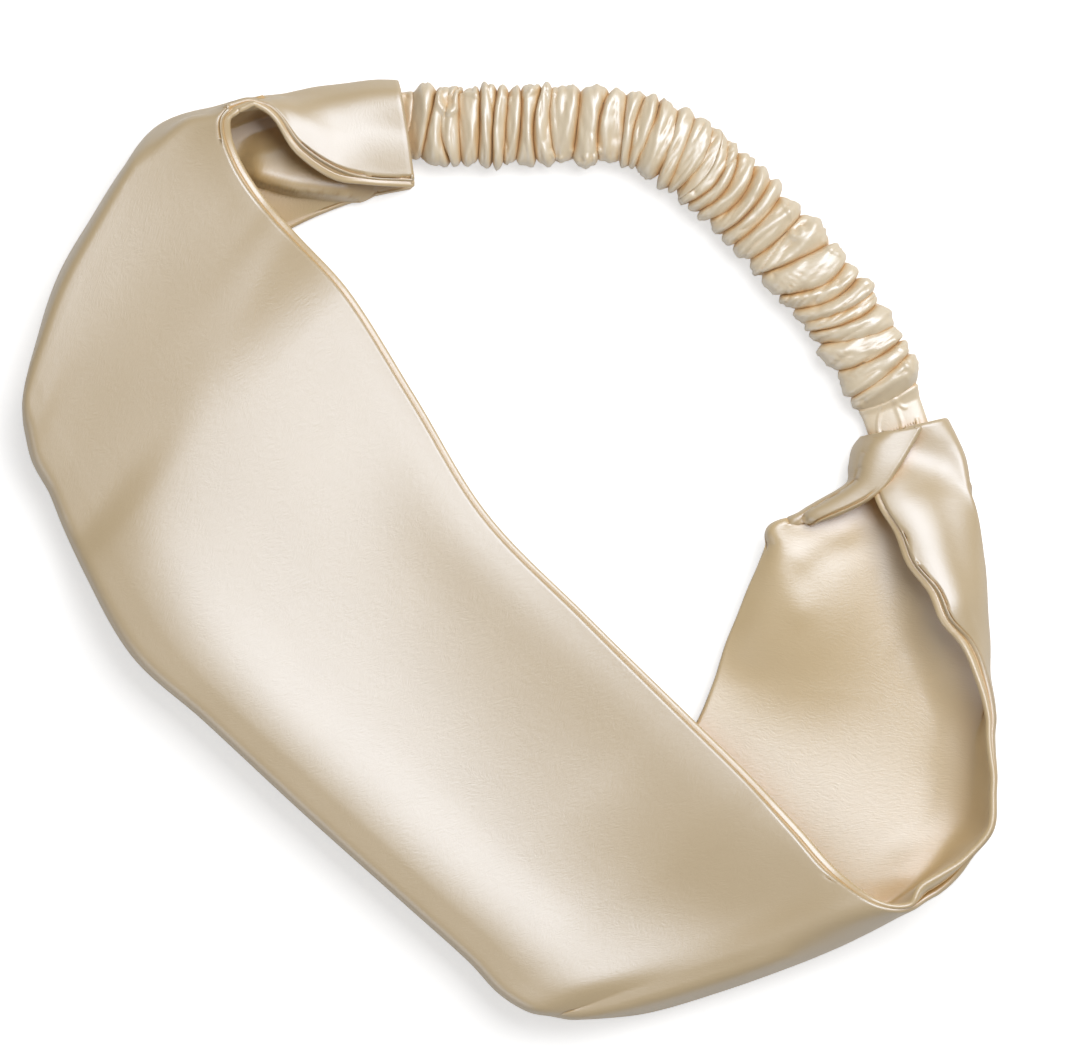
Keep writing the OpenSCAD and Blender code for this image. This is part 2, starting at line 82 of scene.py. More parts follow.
front_rows = [
    [[[-58, 83.5, 15.2], [-66, 77, 14.6], [-76, 66, 13.8], [-86, 52.5, 13], [-93.5, 39, 11.5],
        [-98.4, 28, 7.2], [-100.7, 22.8, 2.4]], []],
    [[[-55.6, 78.6, 14.6], [-66, 66, 14.2], [-77, 52, 13.4], [-87, 38.5, 12.2], [-94.5, 27, 9.8],
        [-98.2, 20, 6], [-99.4, 17.8, 2.4]], []],
    [[[-51, 72, 13.6], [-62, 58, 13.6], [-73, 44, 13], [-84, 29.5, 12], [-91.4, 19.2, 9],
        [-95, 13.2, 5.4], [-96, 11.6, 2.2]], []],
    [[[-44.5, 64.6, 12.4], [-57, 50, 12.8], [-69, 36, 12.6], [-81, 21.5, 11.6], [-88.6, 11.2, 8.6],
        [-92.2, 6, 5.2], [-93.2, 4.6, 2.2]], []],
    [[[-35.2, 54, 10.5], [-49, 38.5, 11.6], [-63, 23.5, 12], [-76, 9.5, 11.2], [-83.8, 0.7, 8.4],
        [-87.8, -3.6, 5], [-88.8, -4.8, 2]], []],
    [[[-21.2, 30.9, 8], [-36, 17, 10], [-51, 2.5, 11.2], [-64.6, -10, 10.8], [-73.6, -18, 8.2],
        [-77.8, -21.4, 4.8], [-78.8, -22.2, 1.8]], []],
    [[[-7.2, 6.4, 6.4], [-22, -5.5, 9], [-37, -18, 10.6], [-50.5, -28.5, 10.4], [-59.5, -33.6, 8],
        [-63, -35, 4.6], [-63.8, -35.7, 1.6]], []],
    [[[14.6, -15.2, 6], [-1, -27.5, 9], [-15, -38, 10.6], [-28.5, -45.5, 10.4], [-38, -51.8, 8],
        [-42.4, -54.2, 4.6], [-43.2, -54.8, 1.6]], []],
    [[[35, -34.2, 8], [19, -47, 10.4], [5, -56.5, 11.4], [-8.5, -65.5, 10.8], [-16.5, -71, 8.2],
        [-20.6, -73.6, 4.8], [-21.5, -74.2, 1.6]], []],
    [[[50, -48.3, 11], [33, -60, 12.2], [19, -68.5, 12.4], [6, -76, 11.6], [-2.6, -82, 8.8],
        [-7.4, -85.4, 5], [-8.3, -86.1, 1.8]], []],
    [[[60, -58.6, 13], [43, -68.5, 13.4], [28, -76.5, 13], [14, -83.5, 11.8], [5, -88.4, 9.2],
        [-1.1, -92, 5.2], [-2.2, -92.6, 2]], []],
    [[[68, -67.3, 14.4], [53, -75, 14], [38, -81.6, 13], [24, -87.6, 11.8], [13, -92, 9],
        [5, -95.6, 5], [3.6, -96.2, 2]], []],
    [[[76, -73.3, 15.4], [64, -78, 14], [50, -83.5, 12.8], [36, -88.4, 11.6], [23, -92.6, 9],
        [11, -96.6, 5.4], [7.6, -97, 2.8]], []],
]
right_turn_rows = [
    [[[83.1, -74.5, 16], [78, -77.2, 11], [66.6, -83.2, 7], [54.3, -88.2, 6], [43.3, -92.1, 5.4],
        [27, -96.7, 4.9], [12.4, -97.8, 3.8]], []],
    [[[86.2, -71.7, 16], [85.4, -72.1, 10], [80, -75.4, 3], [66, -79.4, 1.2], [50, -84, LOW],
        [32, -89, LOW], [14, -92.5, LOW], [-1, -94.2, LOW]], []],
]
right_back_rows = [
    [[[90.4, -68.8, 16], [90.4, -68.3, 10], [88, -68.6, 3.8], [80, -69, 1.5], [60, -73, LOW],
        [35, -79, LOW], [6, -84.5, LOW]], []],
    [[[95.4, -64.8, 16], [95, -64.2, 10], [92, -63.8, 3.8], [82, -63, 1.5], [60, -65, LOW],
        [35, -68, LOW], [15, -71, LOW]], []],
    [[[99.6, -58.2, 16], [99.1, -57.8, 10], [96.3, -57, 4], [88, -56.5, 1.5], [70, -56.5, LOW],
        [45, -56.5, LOW], [25, -56.5, LOW]], []],
    [[[100.6, -51, 15.5], [100.1, -50.5, 10], [97.3, -49.5, 4], [90, -49, 1.5], [70, -48, LOW],
        [50, -46.5, LOW], [32, -46, LOW]], []],
    [[[100.1, -43, 15], [100, -42, 9], [97.6, -41, 3.4], [90, -40.5, 1.5], [72, -39, LOW],
        [54, -37.5, LOW], [38.5, -37.5, LOW]], []],
    [[[99.3, -35, 14.5], [99.8, -35, 9.5], [99.2, -34, 3.4], [92, -33, 1.4], [75, -31, LOW],
        [58, -29.5, LOW], [42.3, -28.8, LOW]], [[1, 0.1]]],
    [[[98, -27, 14], [98.8, -27, 10.4], [99, -26.5, 6], [97.6, -26, 1.6], [85, -24.5, 1.1],
        [65, -22, 1.4], [49, -21, 2.4], [45, -20.6, 1.4]], [[2, 0.17]]],
    [[[94, -20.5, 13.5], [96.6, -20, 11.2], [98.6, -19, 6], [97.5, -18.5, 1.6], [82, -16.5, 1.1],
        [65, -14.8, 1.8], [52.8, -14.4, 4], [47.6, -14.4, 2]], [[2, 0.22]]],
    [[[90.2, -15.2, 13], [94.6, -14, 11.2], [98.4, -12.5, 6.2], [97.3, -12, 1.6], [82, -10.5, 1.1],
        [66, -9.4, 2.4], [54.8, -9, 5.2], [49.8, -8.8, 2.4]], [[2, 0.25]]],
    [[[86.6, -9.2, 12], [93.3, -8, 10.6], [98.1, -6, 6], [96.9, -5.5, 1.6], [80, -5, 1.2],
        [66, -4.8, 3.4], [55.9, -4.4, 6.8], [51.8, -4.4, 3]], [[2, 0.27], [6, 0.93]]],
    [[[83, -3.4, 11], [91.3, -2.4, 10.2], [97.6, -1, 5.8], [96.3, -0.8, 1.6], [80, -0.2, 1.6],
        [66, 0.2, 4], [56.4, 0.2, 7.8], [53.6, 0, 3.6]], [[2, 0.28], [6, 0.91]]],
]
right_end_rows = [
    [[[79.8, 3, 10], [89.6, 4, 9.8], [96.9, 4.8, 5.4], [95.4, 4.8, 1.6], [82, 4.8, 1.8],
        [70, 4.6, 4], [60, 3.6, 7.4], [56, 3.9, 8], [54.8, 4.1, 5]], [[2, 0.28], [7, 0.89]]],
    [[[77.3, 8, 9.2], [87.8, 9, 9.3], [96.1, 9, 5.2], [93.8, 8.8, 1.6], [84, 8.2, 1.5],
        [74, 7.4, 3], [66.2, 7.1, 5.4], [61.8, 7.1, 7], [62.6, 6.8, 9], [64.6, 5.7, 9.4]],
        [[2, 0.28], [7, 0.85]]],
    [[[76.2, 12.4, 7.8], [86, 13.2, 8.6], [94.9, 13.5, 5], [92.8, 13, 1.4], [84, 12.4, 1.2],
        [76, 12, 2.4], [71, 12.8, 5.6], [72.6, 12.8, 9.4], [76.6, 11.3, 10.2]], [[2, 0.28], [6, 0.81]]],
    [[[77.2, 16.8, 6.8], [86, 17.6, 7.9], [93.9, 18.6, 4.8], [91.8, 18, 1.3], [84, 17, 1],
        [76, 16.4, 2], [71.6, 16.8, 5.4], [74, 17, 9.2], [80.7, 16.6, 10.2]], [[2, 0.28], [6, 0.8]]],
    [[[79, 21, 6.3], [86, 21.9, 7.1], [92.2, 22.6, 4.6], [90.4, 22, 1.2], [84, 21, LOW],
        [76, 20.1, 1.1], [72.3, 20.3, 5.1], [75, 20.9, 8.8], [83.3, 20.9, 9.6]], [[2, 0.28], [6, 0.8]]],
    [[[80.5, 24, 6.1], [86, 25.2, 6.7], [90.4, 26.1, 4.4], [88.8, 25.4, 1.1], [83, 24.2, LOW],
        [76.8, 22.9, 1], [73.8, 22.3, 4.9], [76.8, 23, 8.3], [85.4, 24.7, 9.2]], [[2, 0.28], [6, 0.8]]],
]
panel_rows = (left_end_rows + left_turn_rows + front_rows + right_turn_rows
              + right_back_rows + right_end_rows)


def smooth(points, places, wanted):
    """Points at the wanted places of a smooth curve through points at their places"""
    points, places, wanted = (np.asarray(x, float) for x in (points, places, wanted))
    tail = (1,) * (points.ndim - 1)
    gap = np.diff(places).reshape((-1,) + tail)
    rise = np.diff(points, axis=0) / gap
    slope = np.empty_like(points)
    slope[0], slope[-1] = rise[0], rise[-1]
    slope[1:-1] = (rise[:-1] * gap[1:] + rise[1:] * gap[:-1]) / (gap[1:] + gap[:-1])
    k = np.clip(np.searchsorted(places, wanted, side="right") - 1, 0, len(places) - 2)
    h = gap[k]
    t = (wanted - places[k]).reshape((-1,) + tail) / h
    return ((2 * t ** 3 - 3 * t ** 2 + 1) * points[k] + (t ** 3 - 2 * t ** 2 + t) * h * slope[k]
            + (3 * t ** 2 - 2 * t ** 3) * points[k + 1] + (t ** 3 - t ** 2) * h * slope[k + 1])


def run_of(points):
    """Length run along a line of points at each of them"""
    return np.r_[0, np.cumsum(np.linalg.norm(np.diff(points, axis=0), axis=1))]


def row_line(points, folds, shares):
    """Points of one row at the given shares of the cloth's width"""
    run = run_of(points)
    pins = [(0, 0.0)] + [tuple(f) for f in folds] + [(len(points) - 1, 1.0)]
    places = np.interp(run, [run[int(i)] for i, _ in pins], [share for _, share in pins])
    line = smooth(points, places, shares)
    line[:, 2] = np.maximum(line[:, 2], LOW)
    return line


def cloth_through(rows, shares, between):
    """Grid of points through the rows, and the row number of each of its lines"""
    lines = np.array([row_line(np.array(p, float), folds, shares) for p, folds in rows])
    gaps = np.linalg.norm(np.diff(lines, axis=0), axis=2).mean(axis=1) ** 0.6
    places = np.r_[0, np.cumsum(gaps)]
    at = np.arange((len(rows) - 1) * between + 1) / between
    grid = smooth(lines, places, np.interp(at, np.arange(len(rows)), places))
    grid[:, :, 2] = np.maximum(grid[:, :, 2], LOW)
    return grid, at


def unit(v):
    """Vectors of length 1 along the given ones"""
    return v / np.maximum(np.linalg.norm(v, axis=-1, keepdims=True), 1e-9)


def faces_up(grid):
    """The way that the outer side of the cloth faces at each point of a grid"""
    return unit(np.cross(np.gradient(grid, axis=1), np.gradient(grid, axis=0)))


LINES_ACROSS = 96
LINES_A_ROW = 10
across = np.linspace(0, 1, LINES_ACROSS)
middle, row_at = cloth_through(panel_rows, across, LINES_A_ROW)

# How the cloth lies across the front: how steeply it rises towards the lower edge, in mm
# over the cloth's whole width, for each front row at seven places, and the height of its
# middle. It gives way along a slanting line, sags, and stands up at the lower edge.
PLACES = [0, 0.15, 0.3, 0.45, 0.6, 0.75, 0.87]
SLOPES = [[-8, -4, 0, 3, 4, 2, 0],
          [-4, -1, 2, 3, 2, 1, 0], [0, 0, 0, 0, 0, 0, 0],
          [0, -1, -1, -1, -1, -1, 0], [8, 7, 5, 3, 1, 0, 0],
          [12, 13, 12, 11, 10, 7, 0], [10, 13, 14, 14, 15, 14, 1],
          [11, 4, 9, 13, 16, 17, 2], [4, 1, 4, 9, 14, 18, 3],
          [2, -1, 3, 6, 11, 18, 3], [-2, -3, 0, 4, 9, 16, 2],
          [-6, -4, -1, 4, 8, 11, 0], [-9, -5, -1, 4, 7, 7, -1],
          [-12, -10, -7, -4, -2, -1, -2]]
MIDDLES = [13.6, 13.4, 12.8, 12.0, 11.0, 10.2, 9.6, 9.2, 8.8, 8.6, 8.8, 9.8, 11.0, 12.6]
FIRST = 8
LAST = FIRST + len(MIDDLES) - 1
BEYOND = 0.9      # rows past the first and the last one, over which the cloth takes this shape
GIVES_WAY = 11.5  # row at whose upper edge the slanting line starts
SQUARE = 11       # how squarely the cloth turns down over the lower edge
front = np.arange(FIRST, LAST + 1)
crest = int(np.searchsorted(across, PLACES[-1]))
halfway_across = int(np.searchsorted(across, 0.45))
for line in np.flatnonzero((row_at >= FIRST - BEYOND) & (row_at <= LAST + BEYOND)):
    row = np.clip(row_at[line], FIRST, LAST)
    rise = smooth(smooth(SLOPES, front, np.array([row]))[0], PLACES, np.minimum(across, PLACES[-1]))
    given_way = 1 / (1 + np.exp(-(row - GIVES_WAY - 1.9 * across) / (0.12 + 0.08 * across)))
    # The line crosses rows 11 to 15, and the rows outside them have all of their slope
    given_way = np.where(row > 15, 1, given_way) if row > 11 else np.ones_like(across)
    given_way = given_way + (1 - given_way) * np.clip(12 - row, 0, 1)
    rise = rise * given_way
    height = np.r_[0, np.cumsum(0.5 * (rise[1:] + rise[:-1]) * np.diff(across))]
    height += smooth(MIDDLES, front, np.array([row]))[0] - height[halfway_across]
    own = middle[line, :, 2]
    turned = np.clip((across - PLACES[-1]) / (1 - PLACES[-1]), 0, 1)
    down = height[crest] + (own[-1] - height[crest]) * (
        0.02 * turned + 0.98 * (1 - np.sqrt(1 - turned ** SQUARE)))
    height = np.where(turned > 0, down, height)
    # It keeps its height close to the folds at both ends, and eases more at the upper edge
    slow = np.clip((0.35 - across) / 0.25, 0, 1)
    share = np.clip(np.minimum((row_at[line] - FIRST + BEYOND) / (0.5 + 0.8 * slow),
                               (LAST + BEYOND - row_at[line]) / (0.5 + 1.0 * slow)), 0, 1)
    middle[line, :, 2] = own + share * share * (3 - 2 * share) * (height - own)

# Past the flap at the right the cloth curves up from the table into the fold. The line, seen
# from above, is where it leaves the table.
BOWL = [(71, 12), (73, 2), (77, -12), (83, -24), (89, -38), (92, -56)]
BOWL_RISE = 5.5  # how far the cloth comes up, in mm
BOWL_RUN = 17    # and within what distance of the line
track = smooth(BOWL, np.arange(len(BOWL)), np.linspace(0, len(BOWL) - 1, 80))
behind = (row_at > 22) & (row_at < 41)
x, y, z = np.moveaxis(middle[behind], -1, 0)
inside = x - np.interp(y, track[::-1, 1], track[::-1, 0])
bowl = 1 + BOWL_RISE * np.clip(inside / BOWL_RUN, 0, 1) ** 1.4
ends = np.clip((row_at[behind] - 22) / 2, 0, 1) * np.clip((40 - row_at[behind]) / 3, 0, 1)
bowl = 0.5 * (z + bowl + np.sqrt((z - bowl) ** 2 + 0.8))
past_edge = (across > 0.12) * np.clip((across - 0.12) / 0.08, 0, 1)
middle[behind, :, 2] = z + ends[:, None] * (bowl - z) * past_edge

# The under side swells up below the corner at the right, and slopes gently away from it
x, y, z = np.moveaxis(middle, -1, 0)
swell = 6.6 - 0.1 * (x - 56) - 0.075 * (y - 4)
swollen = 0.9 * np.exp(-((x - 64) / 15) ** 2 - ((y + 6) / 20) ** 2)
swollen *= np.outer(np.clip((row_at - 25) / 4, 0, 1), np.clip((across - 0.32) / 0.2, 0, 1))
middle[:, :, 2] = z + swollen * (swell - z) * (z < 9)

# Soft folds, swells and hollows: a line seen from above, its height and width, and the rows
# and shares of the cloth's width that it reaches
FOLDS = [
    (((34, -44), (58, -62), (72, -73)), 3.0, 21.0, (17, 38), (0, 1)),
    (((54.6, 4), (55.6, -2), (57.2, -8), (60, -13)), 0.3, 3.4, (28, 41), (0.5, 1)),
    (((69, 3), (63.5, 0.5), (60.5, -2)), 0.4, 2.8, (28, 41), (0.4, 1)),
    (((86, 17.5), (89, 17)), -2.0, 6.0, (33, 41), (0, 0.5)),
    (((78, 10), (84, 0), (90, -12)), 2.3, 7.5, (30, 41), (0, 0.3)),
]
for points, height, width, rows, shares in FOLDS:
    track = smooth(points, np.arange(len(points)), np.linspace(0, len(points) - 1, 40))
    near = np.min([((middle[:, :, :2] - q) ** 2).sum(axis=-1) for q in track], axis=0)
    in_rows = np.clip((row_at - rows[0]) / 1.5, 0, 1) * np.clip((rows[1] - row_at) / 1.5 + 1, 0, 1)
    held = np.outer(in_rows, np.clip((across - shares[0]) / 0.08 + (shares[0] == 0), 0, 1)
                    * np.clip((shares[1] - across) / 0.08 + (shares[1] == 1), 0, 1))
    middle[:, :, 2] += height * np.exp(-near / width ** 2) * held

# The cloth eases from the turned ends into the front along its upper edge, in the rows given
EASED_ROWS = ((6.2, 9.8), (20.4, 23.2))
TIMES_EASED = 12
upper_part = np.clip((0.4 - across) / 0.2, 0, 1)
for _ in range(TIMES_EASED):
    for first, last in EASED_ROWS:
        part = slice(round(first * LINES_A_ROW), round(last * LINES_A_ROW))
        z = middle[part, :, 2]
        eased = 0.25 * z[:-2] + 0.5 * z[1:-1] + 0.25 * z[2:]
        middle[part, :, 2][1:-1] = z[1:-1] + upper_part * (eased - z[1:-1])

# Inside the left end the under side stands up to a crease and drops sharply past it
CREASE = [(-54, 78), (-51.7, 77.3), (-47.7, 76.2), (-44.9, 75.6), (-35.9, 74.8), (-30, 74)]
CREASE_HEIGHT = 3.6
past = middle[:, :, 1] - np.interp(middle[:, :, 0], *np.array(CREASE).T)
held = np.clip((middle[:, :, 0] + 57) / 4, 0, 1) * np.clip((-29 - middle[:, :, 0]) / 6, 0, 1)
held *= ((row_at < 6.5)[:, None] & (across > 0.55)[None, :]) * np.clip((across - 0.55) / 0.1, 0, 1)
falls = np.where(past > 0, np.exp(-np.maximum(past, 0) / 12), np.exp(-(past / 0.9) ** 2))
middle[:, :, 2] += CREASE_HEIGHT * held * falls
middle[:, :, 2] = np.maximum(middle[:, :, 2], LOW + 0.3)

# The upper edge bellies out in the middle of the front and is wavy at the right: row, mm
EDGE = [(5, 0), (5.6, 0.5), (6.1, -0.5), (6.6, 0.5), (7.2, 0), (8, 0), (12, 0), (13, 0.4), (14, 0.9),
        (15, 1.7), (16, 1.1), (17, 0.4), (18, 0), (23, 0), (24, 0.4), (25, -0.4), (26, 0.5),
        (27, -0.3), (28, 0.5), (29, -0.4), (30, 0.4), (31, -0.4), (32, 0.5), (33, -0.4), (34, 0.4),
        (35, -0.3), (36, 0.2), (41, 0)]
belly = smooth(EDGE, [row for row, _ in EDGE], np.clip(row_at, EDGE[0][0], EDGE[-1][0]))[:, 1]
from_edge = np.linalg.norm(middle[:, :, :2] - middle[:, :1, :2], axis=2)
edge_out = unit(middle[:, 0, :2] - middle[:, 3, :2])
reach = np.where(row_at < 20, 24, 3)[:, None]
middle[:, :, :2] += (belly[:, None] * np.exp(-from_edge / reach))[..., None] * edge_out[:, None]

middle_up = faces_up(middle)
from_upper = np.cumsum(np.r_[np.zeros((1, len(row_at))),
                             np.linalg.norm(np.diff(middle, axis=1), axis=2).T], axis=0).T
from_lower = from_upper[:, -1:] - from_upper

# How far the two layers stand apart at the upper edge, row by row, in mm
APART = [1.4, 1.2, 2.4, 2.0, 1.2, 1.6, 2.4, 1.7, 1.8, 2.1, 2.2, 1.9, 1.9, 1.6, 1.3, 1.2, 1.1,
         1.4, 1.6, 2.0, 2.1, 1.2, 1.3, 3.6, 3.4, 1.3, 1.2, 1.1, 1.2, 1.6, 2.0, 1.9, 2.0, 2.0,
         1.9, 1.7, 1.4, 1.3, 1.3, 1.3, 1.3]
REST_APART = 1.7  # and away from it
ROLL = 0.48       # radius of an edge's roll
SEAM_DEPTH = 1.3  # from the edge in to the seam
CLOTH = 0.3       # thickness of one layer
END_TURN = 0.5    # how far a raw end runs in after its roll


def rolled_edge(base, out, up, half, turns, depth):
    """Lines of points that carry a layer's edge round its roll and in to the seam"""
    centre = base - ROLL * out + (half - ROLL)[:, None] * up
    lines = [centre + ROLL * (math.cos(a) * up + math.sin(a) * out) for a in np.radians(turns)]
    seam = base - depth * out + 0.05 * up
    last = lines[-1]
    return lines + [last + (seam - last) * f for f in (0.3, 0.65, 1.0)]


def layer_grid(side):
    """Points of one layer's shown face: side 1 is the outer layer, -1 the lining"""
    up = side * middle_up
    apart = smooth(APART, np.arange(len(APART)), row_at)
    half = 0.5 * (REST_APART + (apart - REST_APART)[:, None] * np.exp(-(from_upper / 6) ** 2))
    body = middle + half[..., None] * up
    out = unit(middle[:, 0] - middle[:, 2])
    # The outer layer is set back, so that the lining's rim shows beside it
    back = (0.45 + 0.6 * apart)[:, None] if side > 0 else 0.0 * apart[:, None]
    body -= (back * np.exp(-from_upper / 5))[..., None] * out[:, None]
    turns = (0, 22, 45, 68, 90, 112)
    upper = rolled_edge(middle[:, 0] - back * out, out, up[:, 0], half[:, 0], turns, SEAM_DEPTH)
    lower = rolled_edge(middle[:, -1], unit(middle[:, -1] - middle[:, -3]), up[:, -1], half[:, -1],
                        turns, SEAM_DEPTH)
    grid = np.stack(upper[::-1] + list(body.transpose(1, 0, 2)[1:-1]) + lower, axis=1)
    # The raw ends turn in as the edges do
    own_up = unit(np.cross(np.gradient(grid, axis=1), np.gradient(grid, axis=0))) * side
    ends = []
    for k, inner in ((0, 1), (-1, -2)):
        out = unit(grid[k] - grid[inner])
        centre = grid[k] - ROLL * own_up[k]
        lines = [centre + ROLL * (math.cos(a) * own_up[k] + math.sin(a) * out)
                 for a in np.radians((30, 60, 90, 120))]
        lines.append(lines[-1] - END_TURN * out)
        ends.append(lines)
    return np.concatenate([np.array(ends[0][::-1]), grid, np.array(ends[1])])


def faces_of(index, flip):
    """Four-cornered faces between the points of a grid, from the points' numbers"""
    quads = np.stack([index[:-1, :-1], index[:-1, 1:], index[1:, 1:], index[1:, :-1]], -1)
    quads = quads.reshape(-1, 4)
    return quads[:, ::-1] if flip else quads


def pick(made):
    """Makes one object the active and only selected one"""
    bpy.ops.object.select_all(action="DESELECT")
    bpy.context.view_layer.objects.active = made
    made.select_set(True)


def sheet_object(name, grid, flip, wrap=False, thick=CLOTH):
    """Cloth object through a grid of points in mm, with its own map in mm along and across"""
    n, m = grid.shape[:2]
    index = np.arange(n * m).reshape(n, m)
    if wrap:
        index = np.c_[index, index[:, :1]]
    quads = faces_of(index, flip)
    mesh = bpy.data.meshes.new(name)
    mesh.from_pydata((grid.reshape(-1, 3) * MM).tolist(), [], quads.tolist())
    along = np.r_[0, np.cumsum(np.linalg.norm(np.diff(grid, axis=0), axis=2).mean(axis=1))]
    over = np.r_[0, np.cumsum(np.linalg.norm(np.diff(grid, axis=1), axis=2).mean(axis=0))]
    if wrap:
        over = np.r_[over, over[-1] + over[1]]
    places = np.stack(np.meshgrid(along, over, indexing="ij"), -1)
    corners = faces_of(np.arange(places.shape[0] * places.shape[1]).reshape(places.shape[:2]), flip)
    uv = mesh.uv_layers.new(name="cloth")
    uv.data.foreach_set("uv", (places.reshape(-1, 2)[corners.ravel()] * MM).ravel())
    mesh.polygons.foreach_set("use_smooth", [True] * len(mesh.polygons))
    mesh.update()
    made = bpy.data.objects.new(name, mesh)
    bpy.context.collection.objects.link(made)
    pick(made)
    wall = made.modifiers.new("wall", "SOLIDIFY")
    wall.thickness = thick * MM
    wall.offset = -1
    bpy.ops.object.modifier_apply(modifier=wall.name)
    made.select_set(False)
    return made


def linear(code):
    """Linear colour of an sRGB hex value"""
    parts = [int(code[i:i + 2], 16) / 255 for i in (1, 3, 5)]
    return [c / 12.92 if c <= 0.04045 else ((c + 0.055) / 1.055) ** 2.4 for c in parts] + [1.0]


def blank(name):
    """New material with no nodes in it yet"""
    made = bpy.data.materials.new(name)
    made.use_nodes = True
    made.node_tree.nodes.clear()
    return made


def add(material, kind, values=None, links=None, **settings):
    """Adds a node: its settings, its sockets' values, and what feeds its sockets"""
    made = material.node_tree.nodes.new(kind)
    for name, value in settings.items():
        setattr(made, name, value)
    for socket, value in (values or {}).items():
        made.inputs[socket].default_value = value
    for socket, source in (links or {}).items():
        material.node_tree.links.new(source, made.inputs[socket])
    return made


# What the satin's material is made of
GRAIN = 0.45        # width of the grain's strokes, in mm
GRAIN_TURN = 0.6    # how far they're turned from the cloth's length, in radians
GRAIN_LONG = 0.3    # their width over their length
WANDER = 9          # length, in mm, over which they bend
WANDER_BY = 6       # and how far to the side
PATCH = 14          # size, in mm, of the patches of slightly different tone
# Painted shade: the golden colour that is mixed into the cloth in its creases and folds
PAINTED_CREASE_SHADE = "#d09f50"
SHEEN = "#fff6e6"   # warm, as light comes back from the fibres
GLOSS = "#dfecff"   # a little cooler than the cloth


def satin(name, tone, deep, grain=0.035, roughness=0.42, shine=1.0, crease=3.0):
    """Polyester charmeuse satin, woven and heat-set. Its long floats shine softly and broadly,
    and its crepe back shows through as a fine brushed, wavy grain, which is drawn coarser
    than the 0.1 mm floats so that it shows. Lengths are in mm: grain is the relief's depth,
    and crease is the reach of the painted shade: where two surfaces come closer than this, the
    colour is mixed towards a golden crease tone, which stands in for light passed from cloth to cloth."""
    made = blank(name)
    place = add(made, "ShaderNodeTexCoord").outputs["UV"]
    drift = add(made, "ShaderNodeTexNoise", {"Scale": 1 / (WANDER * MM), "Detail": 2.0},
                {"Vector": place})
    swirl = add(made, "ShaderNodeVectorMath", {1: (0.5, 0.5, 0.5)}, {0: drift.outputs["Color"]},
                operation="SUBTRACT")
    bend = add(made, "ShaderNodeVectorMath", {"Scale": WANDER_BY * MM}, {0: swirl.outputs["Vector"]},
               operation="SCALE")
    bent = add(made, "ShaderNodeVectorMath", {}, {0: place, 1: bend.outputs["Vector"]}, operation="ADD")
    strokes = add(made, "ShaderNodeMapping",
                  {"Rotation": (0, 0, GRAIN_TURN), "Scale": (1.0, GRAIN_LONG, 1.0)},
                  {"Vector": bent.outputs["Vector"]})
    fine = add(made, "ShaderNodeTexNoise",
               {"Scale": 1 / (GRAIN * MM), "Detail": 2.0, "Roughness": 0.6},
               {"Vector": strokes.outputs["Vector"]})
    soft = add(made, "ShaderNodeTexNoise", {"Scale": 1 / (PATCH * MM), "Detail": 3.0},
               {"Vector": place})
    tint = add(made, "ShaderNodeMix", {}, {"Factor": soft.outputs["Fac"]}, data_type="RGBA")
    tint.inputs[6].default_value = linear(deep)
    tint.inputs[7].default_value = linear(tone)
    relief = add(made, "ShaderNodeBump", {"Strength": 1.0, "Distance": grain * MM},
                 {"Height": fine.outputs["Fac"]})
    # Painted shade: where cloth closes in on cloth, in creases and folds, the colour is mixed towards a
    # golden tone, which stands in for the light that passes from cloth to cloth there
    crease_shade_mask = add(made, "ShaderNodeAmbientOcclusion", {"Distance": crease * MM}, samples=6)
    tint_with_painted_shade = add(made, "ShaderNodeMix", {}, {"Factor": crease_shade_mask.outputs["AO"], 7: tint.outputs[2]},
                 data_type="RGBA")
    tint_with_painted_shade.inputs[6].default_value = linear(PAINTED_CREASE_SHADE)
    shader = add(made, "ShaderNodeBsdfPrincipled",
                 {"Roughness": roughness, "IOR": 1.9, "Specular IOR Level": shine,
                  "Specular Tint": linear(GLOSS), "Coat Weight": 0.2, "Coat Roughness": 0.5,
                  "Coat IOR": 1.6, "Sheen Weight": 0.25, "Sheen Roughness": 0.4,
                  "Sheen Tint": linear(SHEEN)},
                 {"Base Color": tint_with_painted_shade.outputs[2], "Normal": relief.outputs["Normal"]})
    add(made, "ShaderNodeOutputMaterial", {}, {"Surface": shader.outputs["BSDF"]})
    return made


shown_satin = satin("charmeuse satin, shown side", "#cab288", "#c2a97c")

outer = sheet_object("outer_layer", layer_grid(1), flip=True)
outer.data.materials.append(shown_satin)
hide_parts("outer_panel")
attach(outer, "panel")

# ---------------------------------------------------------------------------
# Lining. The second layer of the same satin, on the inner side of the panel.
# It's what shows where the band is turned over, drawn with painted golden shade and painted light.
# ---------------------------------------------------------------------------

# Painted light and shade: the same satin as the shown side, set warmer and lighter, and its golden
# crease shade reaches 9 mm, so that the turned-over layer is golden in shade and bright where lit
lining_satin = satin("charmeuse satin, lining", "#d8be90", "#ceb27e", crease=9.0)
lining = sheet_object("lining_layer", layer_grid(-1), flip=False)
lining.data.materials.append(lining_satin)
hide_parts("lining_panel")
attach(lining, "panel")

# ---------------------------------------------------------------------------
# Edge seams. The allowances of both layers, sewn and pressed together inside
# each long edge. Where the edge parts, the stitched line shows in the groove.
# ---------------------------------------------------------------------------

NEAR, FAR = 1.1, 6.0    # where the allowance starts and ends, in mm from the edge
ALLOWANCE_WALL = 0.35
STOPS_SHORT = 4         # lines short of the raw ends
LINES_NEEDED = 30       # of the panel's lines, enough to reach over the allowance


def allowance_grid(step):
    """Points of the strip of allowance inside one long edge of the panel"""
    kept = slice(STOPS_SHORT, -STOPS_SHORT)
    away = from_upper[kept] if step > 0 else from_lower[kept]
    order = slice(None, LINES_NEEDED) if step > 0 else slice(None, -LINES_NEEDED - 1, -1)
    return np.array([smooth(line[order], run[order], np.linspace(NEAR, FAR, 9))
                     for line, run in zip(middle[kept], away)])
